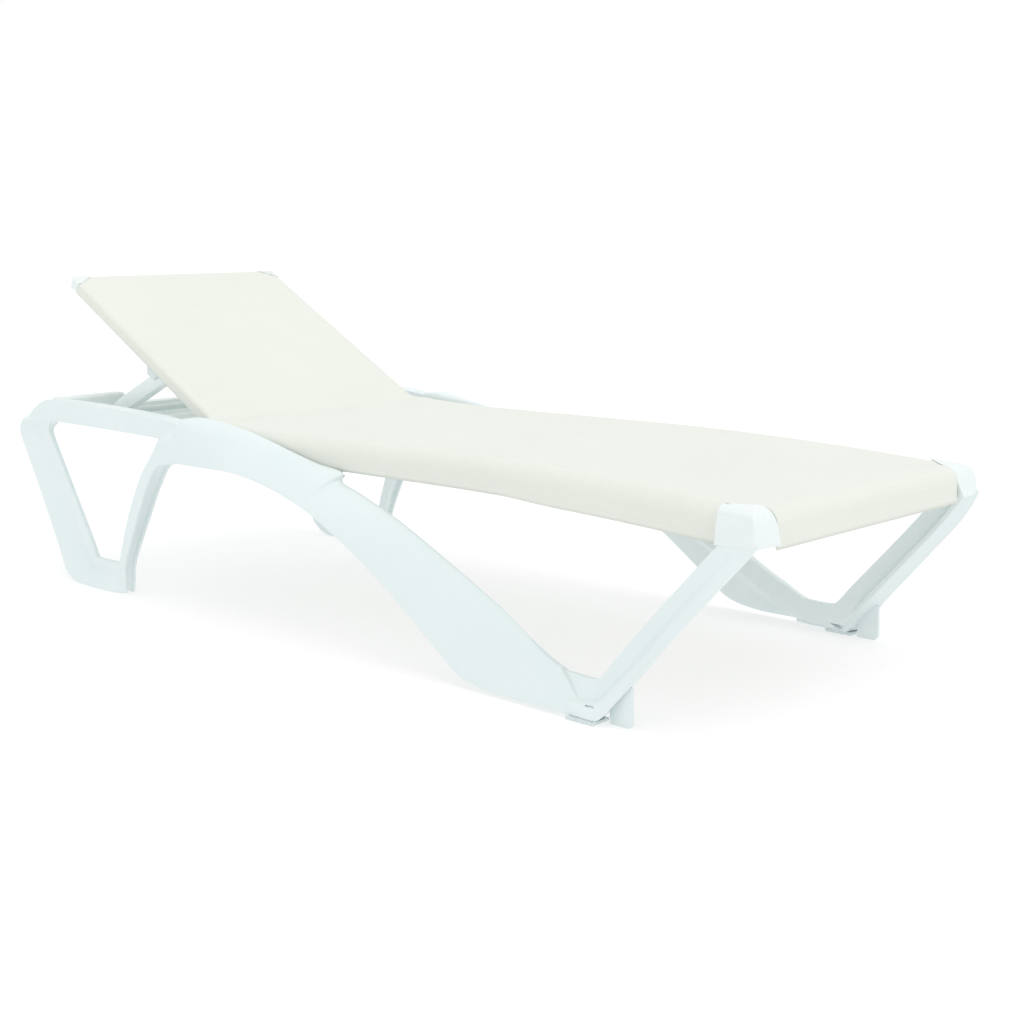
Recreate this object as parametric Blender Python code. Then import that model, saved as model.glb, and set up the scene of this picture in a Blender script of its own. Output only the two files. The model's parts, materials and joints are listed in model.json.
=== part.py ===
"""Reclining sun lounger: two flowing side frames, a seat frame and a hinged backrest in fabric sleeves.

Row frame: +X towards the foot end, +Y to the left-hand side of a person lying on it, +Z up.
The origin is on the ground at the middle of the lounger. All sizes are in metres.

The backrest is built lying flat under an empty on its hinge axis, and the prop under an empty on
the prop's pivot; turning those two empties by the rest angles puts the pieces where they stand.
"""
import math

import bmesh
import bpy
from mathutils import Matrix, Vector

# Driving dimensions
GAP = 0.0003                    # between pieces that touch
CENTRE_SHIFT = 0.005            # puts the middle of the whole length at the origin
HALF_LENGTH = 0.950             # from the working origin back to the head corner
OUTER_W = 0.351                 # half width over the side frames' outer skins
FOOT_W = 0.357                  # half width over the feet
SOLE_Z = 0.006                  # underside of the front feet, held off the ground by their pads

HINGE_X = -0.365
HINGE_Z = 0.343
BACK_REST_ANGLE = math.radians(28.7)
PROP_PIVOT = 0.200              # along the backrest, from the hinge to the prop's pivot
PROP_LENGTH = 0.243             # from the prop's pivot to its foot bar
PROP_REST_ANGLE = math.asin(PROP_PIVOT * math.sin(BACK_REST_ANGLE) / PROP_LENGTH)
PROP_PER_BACK = 0.74            # the prop swings down by this much for each unit the backrest rises
BACK_LOW = math.radians(-23.5)  # backrest travel, counted from the rest pose
BACK_HIGH = math.radians(35.0)

PANEL_TOP = 0.016               # sleeve's upper face above the hinge axis, on seat and backrest
SEAT_SETTLE = 0.006             # the seat lies this much lower than the hinge end along its middle
SETTLE_LENGTH = 0.250
FALL_START = 0.665              # from here the seat curves down towards the foot end
FALL_RATE = 0.065
FABRIC = 0.0024
SEAT_HALF = 0.283               # half width over the seat sleeve
SEAT_RAIL_WIDTH = 0.030
SEAT_DEPTH = 0.053
FLAP_DEPTH = 0.056              # of the sleeve's front flap, from the seat's upper face
SEAT_SHOULDER = 0.026           # radius over which the sleeve rolls down the seat's sides
SEAT_START = 0.010              # seat sleeve's rear edge, ahead of the hinge axis
CAP_START = 1.230               # front corner caps' rear edge, ahead of the hinge axis
FRONT_REACH = 1.295             # seat sleeve's front face, ahead of the hinge axis
CAP_INSIDE = 0.242              # half width of the front edge between the corner caps

BACK_HALF = 0.2595              # half width over the backrest sleeve
BACK_RAIL_WIDTH = 0.016
BACK_DEPTH = 0.024
BACK_SHOULDER = 0.008
BACK_START = 0.032              # backrest sleeve's lower edge, behind the hinge axis
BACK_LENGTH = 0.558
BACK_CAP = 0.045                # length of the backrest's top corner caps
BACK_CAP_INSIDE = 0.2195

PIN_RADIUS = 0.006
PROP_PIN_RADIUS = 0.005
PROP_OUTSIDE = 0.2392           # outer face of the prop's brackets
PROP_ARM_WIDTH = 0.027
PROP_BAR_RADIUS = 0.007
BRACKET_THICK = 0.003

DECK_REAR = -0.832
DECK_FRONT = -0.575
HEAD_INSIDE = 0.305             # inner faces of the head frames
TOOTH_PITCHES = 6

SIDES = (("right", -1), ("left", 1))


# ---------------------------------------------------------------- scene and helpers
for old in list(bpy.data.objects):
    bpy.data.objects.remove(old, do_unlink=True)

PARTS = bpy.data.collections.new("sun_lounger")
CUTTERS = bpy.data.collections.new("cutters")
bpy.context.scene.collection.children.link(PARTS)
bpy.context.scene.collection.children.link(CUTTERS)


def make_material(name, colour, roughness):
    material = bpy.data.materials.new(name)
    material.use_nodes = True
    shader = material.node_tree.nodes["Principled BSDF"]
    shader.inputs["Base Color"].default_value = (*colour, 1.0)
    shader.inputs["Roughness"].default_value = roughness
    shader.inputs["Metallic"].default_value = 0.0
    return material


RESIN = make_material("white_resin", (0.82, 0.86, 0.85), 0.38)
CAP_RESIN = make_material("white_cap_resin", (0.90, 0.92, 0.92), 0.30)
SLING = make_material("sling_fabric", (0.86, 0.86, 0.81), 0.75)
TUBE = make_material("rail_resin", (0.80, 0.82, 0.80), 0.45)
PAD = make_material("grey_rubber", (0.62, 0.66, 0.66), 0.80)
STEEL = make_material("pin_steel", (0.62, 0.63, 0.64), 0.30)
STEEL.node_tree.nodes["Principled BSDF"].inputs["Metallic"].default_value = 1.0


def make_empty(name, location, turn, parent=None):
    """An empty whose Y axis is a hinge axis, turned about it by an angle."""
    empty = bpy.data.objects.new(name, None)
    empty.location = location
    empty.rotation_euler = (0.0, turn, 0.0)
    empty.parent = parent
    PARTS.objects.link(empty)
    return empty


LOUNGER = make_empty("lounger", (CENTRE_SHIFT, 0.0, 0.0), 0.0)


def add_object(name, mesh, material, parent=None, collection=PARTS):
    item = bpy.data.objects.new(name, mesh)
    item.parent = parent or LOUNGER
    collection.objects.link(item)
    if material:
        mesh.materials.append(material)
    if collection is CUTTERS:
        item.hide_render = True
        item.display_type = "WIRE"
    return item


def finish_mesh(mesh_name, shape):
    bmesh.ops.recalc_face_normals(shape, faces=shape.faces)
    mesh = bpy.data.meshes.new(mesh_name)
    shape.to_mesh(mesh)
    shape.free()
    return mesh


def box_mesh(name, low, high, round_axis=None, radius=0.0, segments=3):
    """A box between two corners; the edges along one axis, or all edges, can be rounded."""
    shape = bmesh.new()
    bmesh.ops.create_cube(shape, size=1.0)
    size = Vector(high) - Vector(low)
    middle = (Vector(high) + Vector(low)) / 2
    bmesh.ops.scale(shape, vec=size, verts=shape.verts)
    bmesh.ops.translate(shape, vec=middle, verts=shape.verts)
    if radius:
        edges = shape.edges[:]
        if round_axis is not None:
            edges = [e for e in edges if abs((e.verts[0].co - e.verts[1].co)[round_axis]) > 1e-6]
        bmesh.ops.bevel(shape, geom=edges, offset=radius, segments=segments, profile=0.5, affect="EDGES")
    return finish_mesh(name, shape)


def cylinder_mesh(name, radius, low_y, high_y, x=0.0, z=0.0, segments=24):
    """A round bar along Y."""
    shape = bmesh.new()
    turn = Matrix.Rotation(math.radians(90), 4, "X")
    place = Matrix.Translation((x, (low_y + high_y) / 2, z)) @ turn
    bmesh.ops.create_cone(shape, cap_ends=True, segments=segments, radius1=radius, radius2=radius,
                          depth=high_y - low_y, matrix=place)
    return finish_mesh(name, shape)


def prism_mesh(name, outline, low_y, high_y):
    """A flat outline of (x, z) points, extruded along Y."""
    shape = bmesh.new()
    near = [shape.verts.new((x, low_y, z)) for x, z in outline]
    face = shape.faces.new(near)
    extruded = bmesh.ops.extrude_face_region(shape, geom=[face])
    moved = [item for item in extruded["geom"] if isinstance(item, bmesh.types.BMVert)]
    bmesh.ops.translate(shape, vec=(0.0, high_y - low_y, 0.0), verts=moved)
    return finish_mesh(name, shape)


def loft_mesh(name, rings, closed=False):
    """Rings of points joined one to the next; an open loft is capped at both ends."""
    shape = bmesh.new()
    rows = [[shape.verts.new(point) for point in ring] for ring in rings]
    count = len(rows[0])
    joins = list(zip(rows, rows[1:]))
    if closed:
        joins.append((rows[-1], rows[0]))
    for first, second in joins:
        for i in range(count):
            j = (i + 1) % count
            shape.faces.new((first[i], first[j], second[j], second[i]))
    if not closed:
        shape.faces.new(rows[0])
        shape.faces.new(rows[-1])
    return finish_mesh(name, shape)


def boolean(target, other, operation="DIFFERENCE"):
    modifier = target.modifiers.new(operation.lower(), "BOOLEAN")
    modifier.operation = operation
    modifier.solver = "EXACT"
    modifier.object = other


def cutter(name, mesh, parent=None):
    return add_object(name, mesh, None, parent, CUTTERS)


def smooth(mesh, angle=35):
    mesh.shade_smooth()
    mesh.set_sharp_from_angle(angle=math.radians(angle))


def span(sign, near, far):
    """The low and high Y of a piece that reaches from one half width to another on one side."""
    return sorted((sign * near, sign * far))


def stations(knots, steps, closed=False):
    """Rows of numbers on a Catmull-Rom curve through the knots' rows."""
    count = len(knots)
    rows = []
    last = count if closed else count - 1
    for i in range(last):
        if closed:
            four = [knots[(i + k) % count] for k in (-1, 0, 1, 2)]
        else:
            four = [knots[min(max(i + k, 0), count - 1)] for k in (-1, 0, 1, 2)]
        for step in range(steps):
            t = step / steps
            weights = (-t * (1 - t) ** 2 / 2,
                       (2 - 5 * t ** 2 + 3 * t ** 3) / 2,
                       t * (1 + 4 * t - 3 * t ** 2) / 2,
                       t ** 2 * (t - 1) / 2)
            rows.append(tuple(sum(w * row[c] for w, row in zip(weights, four))
                              for c in range(len(knots[0]))))
    if not closed:
        rows.append(tuple(knots[-1]))
    return rows


def section(sign, start, end, outline):
    """A member's section: each outline point is a share of the way from start to end, and a half width."""
    (x0, z0), (x1, z1) = start, end
    return [(x0 + (x1 - x0) * share, sign * w, z0 + (z1 - z0) * share) for share, w in outline]


def seat_drop(x):
    """How far the seat lies below its line through the hinge, x ahead of the hinge axis."""
    settled = min(max(x / SETTLE_LENGTH, 0.0), 1.0)
    fallen = max(0.0, x - FALL_START)
    return SEAT_SETTLE * settled ** 2 * (3 - 2 * settled) + FALL_RATE * fallen ** 2


def seat_stations(low, high):
    """Places along the seat that follow its bow, the same ones for every seat piece."""
    settling = [SETTLE_LENGTH * i / 5 for i in range(1, 6)]
    falling = [FALL_START + 0.07 * i for i in range(9)]
    return [low] + [x for x in settling + falling if low + 0.002 < x < high - 0.002] + [high]


def bow(mesh):
    """Lowers a seat piece's points to the seat's bowed line."""
    for vertex in mesh.vertices:
        vertex.co.z -= seat_drop(vertex.co.x)
    return mesh


# ---------------------------------------------------------------- side frames
LIP = 0.005                     # wall beside the channel in the head frame's front branch
DRAFT = 0.0015

# Round the head loop, from the joint with the arm, down the front branch, along the foot,
# up the rear leg and back along the rail. Each row: hole edge x, z; outer edge x, z; half widths of
# the outer face at the hole and at the outer edge, and of the inner face at the hole and at the
# outer edge; depth of the channel as a share of the member.
JOINT_X = -0.386
HEAD_LOOP = (
    (-0.424, 0.3255, JOINT_X, 0.361, 0.346, 0.346, 0.305, 0.305, 0.0),
    (-0.416, 0.3205, JOINT_X, 0.326, 0.349, 0.350, 0.310, 0.310, 0.0),
    (-0.422, 0.3115, JOINT_X, 0.285, 0.351, 0.351, 0.316, 0.316, 0.0),
    (-0.443, 0.2880, -0.418, 0.274, 0.351, 0.351, 0.318, 0.318, 0.3),
    (-0.483, 0.2450, -0.458, 0.231, 0.351, 0.351, 0.322, 0.322, 0.75),
    (-0.526, 0.1770, -0.497, 0.164, 0.351, 0.351, 0.327, 0.327, 0.80),
    (-0.556, 0.1150, -0.528, 0.106, 0.351, 0.351, 0.332, 0.332, 0.80),
    (-0.577, 0.0670, -0.549, 0.060, 0.350, 0.352, 0.335, 0.335, 0.70),
    (-0.588, 0.0570, -0.567, 0.000, 0.346, 0.354, 0.325, 0.330, 0.10),
    (-0.617, 0.0550, -0.615, 0.000, 0.338, FOOT_W, 0.318, 0.314, 0.0),
    (-0.690, 0.0550, -0.725, 0.000, 0.332, FOOT_W, 0.321, 0.310, 0.0),
    (-0.704, 0.0630, -0.779, 0.017, 0.330, 0.356, 0.321, 0.308, 0.0),
    (-0.722, 0.0930, -0.813, 0.067, 0.330, 0.353, 0.321, 0.306, 0.0),
    (-0.784, 0.1870, -0.873, 0.167, 0.330, 0.351, 0.321, 0.305, 0.0),
    (-0.850, 0.2870, -0.935, 0.271, 0.331, 0.351, 0.321, 0.305, 0.0),
    (-0.861, 0.3080, -HALF_LENGTH, 0.300, 0.332, 0.351, 0.319, 0.305, 0.0),
    (-0.853, 0.3210, -0.938, 0.327, 0.333, 0.348, 0.314, 0.305, 0.0),
    (-0.833, 0.3290, -0.906, 0.354, 0.334, 0.337, 0.308, 0.305, 0.0),
    (-0.806, 0.3290, -0.858, 0.3725, 0.335, 0.335, 0.305, 0.305, 0.0),
    (-0.760, 0.3285, -0.765, 0.3745, 0.335, 0.335, 0.305, 0.305, 0.0),
    (-0.600, 0.3275, -0.590, 0.3715, 0.337, 0.337, 0.305, 0.305, 0.0),
    (-0.450, 0.3260, -0.430, 0.3645, 0.343, 0.343, 0.305, 0.305, 0.0),
)


def head_outline(web, edge, hole_back, back, channel):
    """The web flares outwards to the member's outer edge; a channel can be sunk in that edge."""
    floor = 1.0 - channel
    return ((0.0, web),
            (0.40, web),
            (0.65, web + 0.25 * (edge - web)),
            (0.85, web + 0.70 * (edge - web)),
            (1.0, edge),
            (1.0, edge - LIP),
            (floor, edge - LIP - DRAFT),
            (floor, back + LIP + DRAFT),
            (1.0, back + LIP),
            (1.0, back),
            (0.5, (back + hole_back) / 2),
            (0.0, hole_back))


def head_frame(side, sign):
    rings = []
    for ix, iz, ox, oz, web, edge, hole_back, back, channel in stations(HEAD_LOOP, 3, closed=True):
        outline = head_outline(web, edge, hole_back, back, max(channel, 0.0))
        rings.append(section(sign, (ix, iz), (min(ox, JOINT_X), max(oz, 0.0)), outline))
    mesh = loft_mesh("head_frame_" + side, rings, closed=True)
    smooth(mesh)
    return add_object("head_frame_" + side, mesh, RESIN)


# The arm that sweeps from the head frame down to the front foot. Each row: crest x, z; hem x, z;
# half widths of the crest and of the inner face; the inner face's share of the section's height.
ARM_START = JOINT_X + GAP
FOOT_JOINT_X = 0.606
ARM = (
    (ARM_START, 0.361, ARM_START, 0.285, 0.297, 0.2900, 0.60),
    (-0.307, 0.3650, -0.300, 0.284, 0.290, 0.2865, 0.55),
    (-0.255, 0.3600, -0.255, 0.284, 0.290, 0.2865, 0.55),
    (-0.197, 0.3520, -0.205, 0.284, 0.290, 0.2865, 0.55),
    (-0.137, 0.3400, -0.150, 0.281, 0.290, 0.2865, 0.55),
    (-0.051, 0.3210, -0.085, 0.271, 0.290, 0.2865, 0.55),
    (0.005, 0.3100, -0.040, 0.261, 0.290, 0.2865, 0.55),
    (0.066, 0.3020, 0.005, 0.2485, 0.290, 0.2865, 0.55),
    (0.070, 0.2850, 0.028, 0.2410, 0.296, 0.2890, 0.52),
    (0.124, 0.2710, 0.085, 0.2175, 0.301, 0.2930, 0.49),
    (0.226, 0.2370, 0.165, 0.1780, 0.303, 0.2960, 0.45),
    (0.345, 0.1860, 0.265, 0.1180, 0.306, 0.2990, 0.41),
    (0.460, 0.1340, 0.362, 0.0510, 0.309, 0.3020, 0.37),
    (0.525, 0.0980, 0.415, 0.0180, 0.311, 0.3040, 0.37),
    (0.562, 0.0790, 0.490, SOLE_Z, 0.313, 0.3050, 0.50),
    (0.585, 0.0670, 0.555, SOLE_Z, 0.3135, 0.3055, 0.80),
    (FOOT_JOINT_X, 0.056, FOOT_JOINT_X, SOLE_Z, 0.314, 0.3060, 0.92),
)
SKIN = 0.007
SWELL_SHARES = (0.03, 0.10, 0.22, 0.38, 0.58, 0.80, 1.0)
SWELL_POWER = 0.55


def arm_outline(crest, inside, depth):
    """A beam under the crest, with a thin skin that swells outwards and down to the hem."""
    def skin(share):
        return crest + (OUTER_W - crest) * share ** SWELL_POWER

    outer = [(share, skin(share)) for share in SWELL_SHARES]
    hung = 1.0 - depth
    behind = [(share, skin(share) - SKIN) for share in (1.0, 1.0 - 0.35 * hung, 1.0 - 0.70 * hung)]
    return ([(0.0, crest + 0.003)] + outer + behind
            + [(depth, inside + 0.006), (depth - 0.06, inside), (0.10, inside), (0.03, inside + 0.002)])


LEDGE_START, LEDGE_END = 0.300, 0.427
LEDGE_THICK = 0.010


def seat_ledge(side, sign, seat):
    """The shelf on the arm that the seat rail is bolted down on."""
    low, high = span(sign, SEAT_HALF - FABRIC - GAP - SEAT_RAIL_WIDTH, 0.300)
    top = PANEL_TOP - SEAT_DEPTH - GAP
    mesh = box_mesh("seat_ledge_" + side, (LEDGE_START, low, top - LEDGE_THICK), (LEDGE_END, high, top))
    return cutter("seat_ledge_" + side, bow(mesh), seat)


def side_arm(side, sign, seat, bolts):
    rings = []
    for tx, tz, bx, bz, crest, inside, depth in stations(ARM, 3):
        ends = ((min(tx, FOOT_JOINT_X), tz), (min(bx, FOOT_JOINT_X), max(bz, SOLE_Z)))
        rings.append(section(sign, *ends, arm_outline(crest, inside, depth)))
    mesh = loft_mesh("side_arm_" + side, rings)
    smooth(mesh)
    arm = add_object("side_arm_" + side, mesh, RESIN)
    boolean(arm, seat_ledge(side, sign, seat), "UNION")
    for bolt in bolts:
        boolean(arm, bolt)
    return arm


# The front leg with its foot. Each row: rear (upper) edge x, z; front (lower) inner corner x, z;
# how far the outer corner stands ahead of it; half widths of the outer face at the rear and at the
# front, and of the inner face at the rear and at the front.
LEG_START = FOOT_JOINT_X + GAP
LEG_TOP_Z = 0.2795
FRONT_LEG = (
    (LEG_START, 0.056, LEG_START, SOLE_Z, 0.0, 0.314, 0.351, 0.306, 0.328),
    (0.648, 0.055, 0.650, SOLE_Z, 0.0, 0.314, 0.354, 0.306, 0.326),
    (0.668, 0.057, 0.684, SOLE_Z, 0.009, 0.314, 0.354, 0.307, 0.320),
    (0.682, 0.069, 0.712, 0.040, 0.015, 0.313, 0.344, 0.307, 0.306),
    (0.708, 0.099, 0.741, 0.0724, 0.015, 0.313, 0.336, 0.307, 0.298),
    (0.782, 0.179, 0.813, 0.1524, 0.015, 0.313, 0.331, 0.307, 0.297),
    (0.852, 0.255, 0.882, 0.2284, 0.015, 0.311, 0.329, 0.305, 0.294),
    (0.874, LEG_TOP_Z, 0.923, LEG_TOP_Z, 0.014, 0.303, 0.312, 0.297, 0.280),
)
LUG_REAR, LUG_FRONT = 0.7055, 0.7465
LUG_NEAR, LUG_FAR = 0.323, 0.330
LUG_TOP = 0.064


def leg_outline(ahead, rear_out, front_out, rear_in, front_in):
    """Points (share, half width, ahead): a thin web that opens into a grooved flange at the front."""
    flare = front_out - rear_out
    return ((0.0, rear_out, 0.0),
            (0.45, rear_out, 0.0),
            (0.66, rear_out + 0.30 * flare, 0.0),
            (0.74, rear_out + 0.55 * flare, 0.0),
            (0.78, rear_out + 0.42 * flare, 0.0),
            (0.88, rear_out + 0.85 * flare, 0.5 * ahead),
            (1.0, front_out, ahead),
            (1.0, front_in, 0.0),
            (0.80, front_in, 0.0),
            (0.70, rear_in, 0.0),
            (0.0, rear_in, 0.0))


def stacking_lug(side, sign):
    """An upright fin in front of the leg that reaches the ground."""
    low, high = span(sign, LUG_NEAR, LUG_FAR)
    outline = ((LUG_REAR, 0.0), (LUG_FRONT - 0.006, 0.0), (LUG_FRONT, 0.006), (LUG_FRONT, LUG_TOP - 0.004),
               (LUG_FRONT - 0.012, LUG_TOP), (LUG_REAR, 0.030))
    return cutter("stacking_lug_" + side, prism_mesh("stacking_lug_" + side, outline, low, high))


def front_leg(side, sign):
    rings = []
    for rx, rz, fx, fz, ahead, *widths in stations(FRONT_LEG, 3):
        rear = (max(rx, LEG_START), min(rz, LEG_TOP_Z))
        front = (max(fx, LEG_START), min(max(fz, SOLE_Z), LEG_TOP_Z))
        outline = leg_outline(max(ahead, 0.0), *widths)
        ring = section(sign, rear, front, [(share, w) for share, w, _ in outline])
        rings.append([(x + point[2], y, z) for (x, y, z), point in zip(ring, outline)])
    mesh = loft_mesh("front_leg_" + side, rings)
    smooth(mesh)
    leg = add_object("front_leg_" + side, mesh, RESIN)
    boolean(leg, stacking_lug(side, sign), "UNION")
    return leg


def foot_pad(name, sign, low_x, high_x):
    low, high = span(sign, 0.321, 0.3545)
    mesh = box_mesh(name, (low_x, low, 0.0), (high_x, high, SOLE_Z - GAP), 2, 0.004, 2)
    return add_object(name, mesh, PAD)


# ---------------------------------------------------------------- head end
CROSSBAR_REAR = -0.886
CROSSBAR_FRONT = -0.842
CROSSBAR_TOP = 0.375
CROSSBAR_BOTTOM = 0.332
GRIP_HALF = 0.155
GRIP_DEPTH = 0.026


def head_crossbar():
    """The bar across the head end, dipped in the middle as a lifting grip."""
    reach = HEAD_INSIDE - GAP
    mesh = box_mesh("head_crossbar", (CROSSBAR_REAR, -reach, CROSSBAR_BOTTOM),
                    (CROSSBAR_FRONT, reach, CROSSBAR_TOP), 1, 0.010, 4)
    smooth(mesh)
    bar = add_object("head_crossbar", mesh, RESIN)
    dip = box_mesh("grip_dip", (CROSSBAR_REAR - 0.02, -GRIP_HALF, CROSSBAR_TOP - GRIP_DEPTH),
                   (CROSSBAR_FRONT + 0.02, GRIP_HALF, CROSSBAR_TOP + 0.05), 0, 0.012, 4)
    boolean(bar, cutter("grip_dip", dip))
    return bar


def bar_place(back_turn):
    """Where the prop's foot bar is, in x and z, when the backrest has turned from its rest pose."""
    back = BACK_REST_ANGLE + back_turn
    prop = PROP_REST_ANGLE + PROP_PER_BACK * back_turn
    x = HINGE_X - PROP_PIVOT * math.cos(back) - PROP_LENGTH * math.cos(prop)
    z = HINGE_Z + PROP_PIVOT * math.sin(back) - PROP_LENGTH * math.sin(prop)
    return x, z


def tooth_tip_z(x):
    """Height of a tooth's tip at x: just under the foot bar's path."""
    low, high = BACK_LOW, BACK_HIGH
    for _ in range(40):
        middle = (low + high) / 2
        if bar_place(middle)[0] < x:
            low = middle
        else:
            high = middle
    return bar_place((low + high) / 2)[1] - PROP_BAR_RADIUS - 0.0006


TRAY_LOW, TRAY_TOP = 0.316, 0.322
SHELF_LOW, SHELF_TOP = 0.328, 0.334
TRAY_HALF = 0.2445
TRAY_WALL = 0.006
TOOTH_DEPTH = 0.010
TOOTH_LEAN = 0.010


def ratchet_deck():
    """A tray between the head rails, with a row of cross-wise teeth that the prop's bar stops against."""
    reach = HEAD_INSIDE - GAP
    half = [(reach, SHELF_TOP), (reach, SHELF_LOW), (TRAY_HALF + TRAY_WALL, SHELF_LOW),
            (TRAY_HALF + TRAY_WALL, TRAY_LOW)]
    inside = [(TRAY_HALF, TRAY_TOP), (TRAY_HALF, SHELF_TOP)]
    outline = half + [(-y, z) for y, z in reversed(half)]
    outline += [(-y, z) for y, z in reversed(inside)] + inside
    deck = add_object("ratchet_deck", along_x("ratchet_deck", outline, (DECK_REAR, DECK_FRONT)), RESIN)

    teeth_rear, teeth_front = DECK_REAR + 0.004, DECK_FRONT - 0.004
    pitch = (teeth_front - teeth_rear) / TOOTH_PITCHES
    floor = (TRAY_LOW + TRAY_TOP) / 2
    teeth = [(teeth_rear, floor), (teeth_rear, tooth_tip_z(teeth_rear))]
    for i in range(TOOTH_PITCHES):
        tip = teeth_rear + pitch * i + 0.012
        foot = tip + TOOTH_LEAN
        next_tip = teeth_rear + pitch * (i + 1)
        teeth.append((tip, tooth_tip_z(tip)))
        teeth.append((foot, tooth_tip_z(foot) - TOOTH_DEPTH))
        teeth.append((next_tip - 0.006, tooth_tip_z(next_tip)))
    teeth += [(teeth_front, tooth_tip_z(teeth_front)), (teeth_front, floor)]
    teeth_half = PROP_OUTSIDE - PROP_ARM_WIDTH - 0.012
    boolean(deck, cutter("ratchet_teeth", prism_mesh("ratchet_teeth", teeth, -teeth_half, teeth_half)), "UNION")
    return deck


# ---------------------------------------------------------------- seat frame, in the seat's own flat frame
RAIL_OUT = SEAT_HALF - FABRIC - GAP
RAIL_TOP = PANEL_TOP - FABRIC - GAP
RAIL_BOTTOM = PANEL_TOP - SEAT_DEPTH
BOLT_PLACES = (0.330, 0.397)
BOLT_RADIUS = 0.003


def shoulder_arc(half, top, radius, segments=6):
    """Points (y, z) over a rolled shoulder, from its side face to its upper face."""
    points = []
    for i in range(segments + 1):
        turn = math.radians(90) * i / segments
        points.append((half - radius + radius * math.cos(turn), top - radius + radius * math.sin(turn)))
    return points


def along_x(name, outline, places):
    """A flat outline of (y, z) points, carried along X through the given places."""
    mesh = loft_mesh(name, [[(x, y, z) for y, z in outline] for x in places])
    smooth(mesh)
    return mesh


def vertical_bolt(name, sign, x, seat, clearance, collection):
    """The shank of a bolt that goes up through the arm's ledge into the rail, or its hole."""
    y = sign * (RAIL_OUT - SEAT_RAIL_WIDTH / 2)
    ledge_bottom = RAIL_BOTTOM - GAP - LEDGE_THICK
    shape = bmesh.new()
    low, high = ledge_bottom - GAP, RAIL_BOTTOM + 0.018
    if collection is CUTTERS:
        low -= 0.002
        high += clearance
    bmesh.ops.create_cone(shape, cap_ends=True, segments=16, radius1=BOLT_RADIUS + clearance,
                          radius2=BOLT_RADIUS + clearance, depth=high - low,
                          matrix=Matrix.Translation((x, y, (low + high) / 2)))
    return add_object(name, bow(finish_mesh(name, shape)), STEEL, seat, collection)


def seat_bolt(side, sign, index, seat):
    name = f"seat_bolt_{side}_{index}"
    shank = vertical_bolt(name, sign, BOLT_PLACES[index - 1], seat, 0.0, PARTS)
    ledge_bottom = RAIL_BOTTOM - GAP - LEDGE_THICK
    head = bmesh.new()
    y = sign * (RAIL_OUT - SEAT_RAIL_WIDTH / 2)
    bmesh.ops.create_cone(head, cap_ends=True, segments=16, radius1=0.0055, radius2=0.0065, depth=0.004,
                          matrix=Matrix.Translation((BOLT_PLACES[index - 1], y, ledge_bottom - GAP - 0.0018)))
    boolean(shank, cutter(name + "_head", bow(finish_mesh(name + "_head", head)), seat), "UNION")
    return shank


def bolt_holes(side, sign, seat):
    return [vertical_bolt(f"bolt_hole_{side}_{i}", sign, x, seat, GAP, CUTTERS)
            for i, x in enumerate(BOLT_PLACES, 1)]


def seat_rail(side, sign, seat, bolts):
    arc = shoulder_arc(RAIL_OUT, RAIL_TOP, SEAT_SHOULDER - FABRIC)
    outline = [(RAIL_OUT, RAIL_BOTTOM)] + arc
    outline += [(RAIL_OUT - SEAT_RAIL_WIDTH, RAIL_TOP), (RAIL_OUT - SEAT_RAIL_WIDTH, RAIL_BOTTOM)]
    outline = [(sign * y, z) for y, z in outline]
    mesh = along_x("seat_rail_" + side, outline, seat_stations(0.030, CAP_START - GAP))
    rail = add_object("seat_rail_" + side, bow(mesh), TUBE, seat)
    low, high = span(sign, BACK_HALF + 0.0015, RAIL_OUT - 0.0108)
    lug = box_mesh("hinge_lug_" + side, (-0.016, low, -0.013), (0.035, high, 0.0095), 1, 0.009, 3)
    boolean(rail, cutter("hinge_lug_" + side, lug, seat), "UNION")
    low, high = span(sign, BACK_HALF - 0.01, SEAT_HALF + 0.01)
    hole = cylinder_mesh("hinge_hole_" + side, PIN_RADIUS + GAP, low, high)
    boolean(rail, cutter("hinge_hole_" + side, hole, seat))
    for bolt in bolts:
        boolean(rail, bolt)
    return rail


def hinge_pin(side, sign):
    low, high = span(sign, BACK_HALF - FABRIC - GAP - BACK_RAIL_WIDTH - 0.002, RAIL_OUT - 0.0115)
    mesh = cylinder_mesh("hinge_pin_" + side, PIN_RADIUS, low, high, HINGE_X, HINGE_Z)
    smooth(mesh)
    return add_object("hinge_pin_" + side, mesh, STEEL)


def cross_member(name, x, width, depth, seat):
    reach = RAIL_OUT - SEAT_RAIL_WIDTH - GAP
    top = RAIL_TOP - 0.004
    mesh = box_mesh(name, (x - width / 2, -reach, top - depth), (x + width / 2, reach, top), 1, 0.006, 3)
    smooth(mesh)
    return add_object(name, bow(mesh), TUBE, seat)


def front_rail(seat):
    """The rail under the sleeve's front edge, between the corner caps."""
    reach = CAP_INSIDE - GAP
    front = FRONT_REACH - FABRIC - GAP
    radius = 0.020
    outline = [(front - 0.040, RAIL_BOTTOM), (front, RAIL_BOTTOM)]
    for i in range(7):
        turn = math.radians(90) * i / 6
        outline.append((front - radius + radius * math.cos(turn), RAIL_TOP - radius + radius * math.sin(turn)))
    outline.append((front - 0.040, RAIL_TOP))
    mesh = prism_mesh("seat_front_rail", outline, -reach, reach)
    smooth(mesh)
    return add_object("seat_front_rail", bow(mesh), TUBE, seat)


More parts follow.
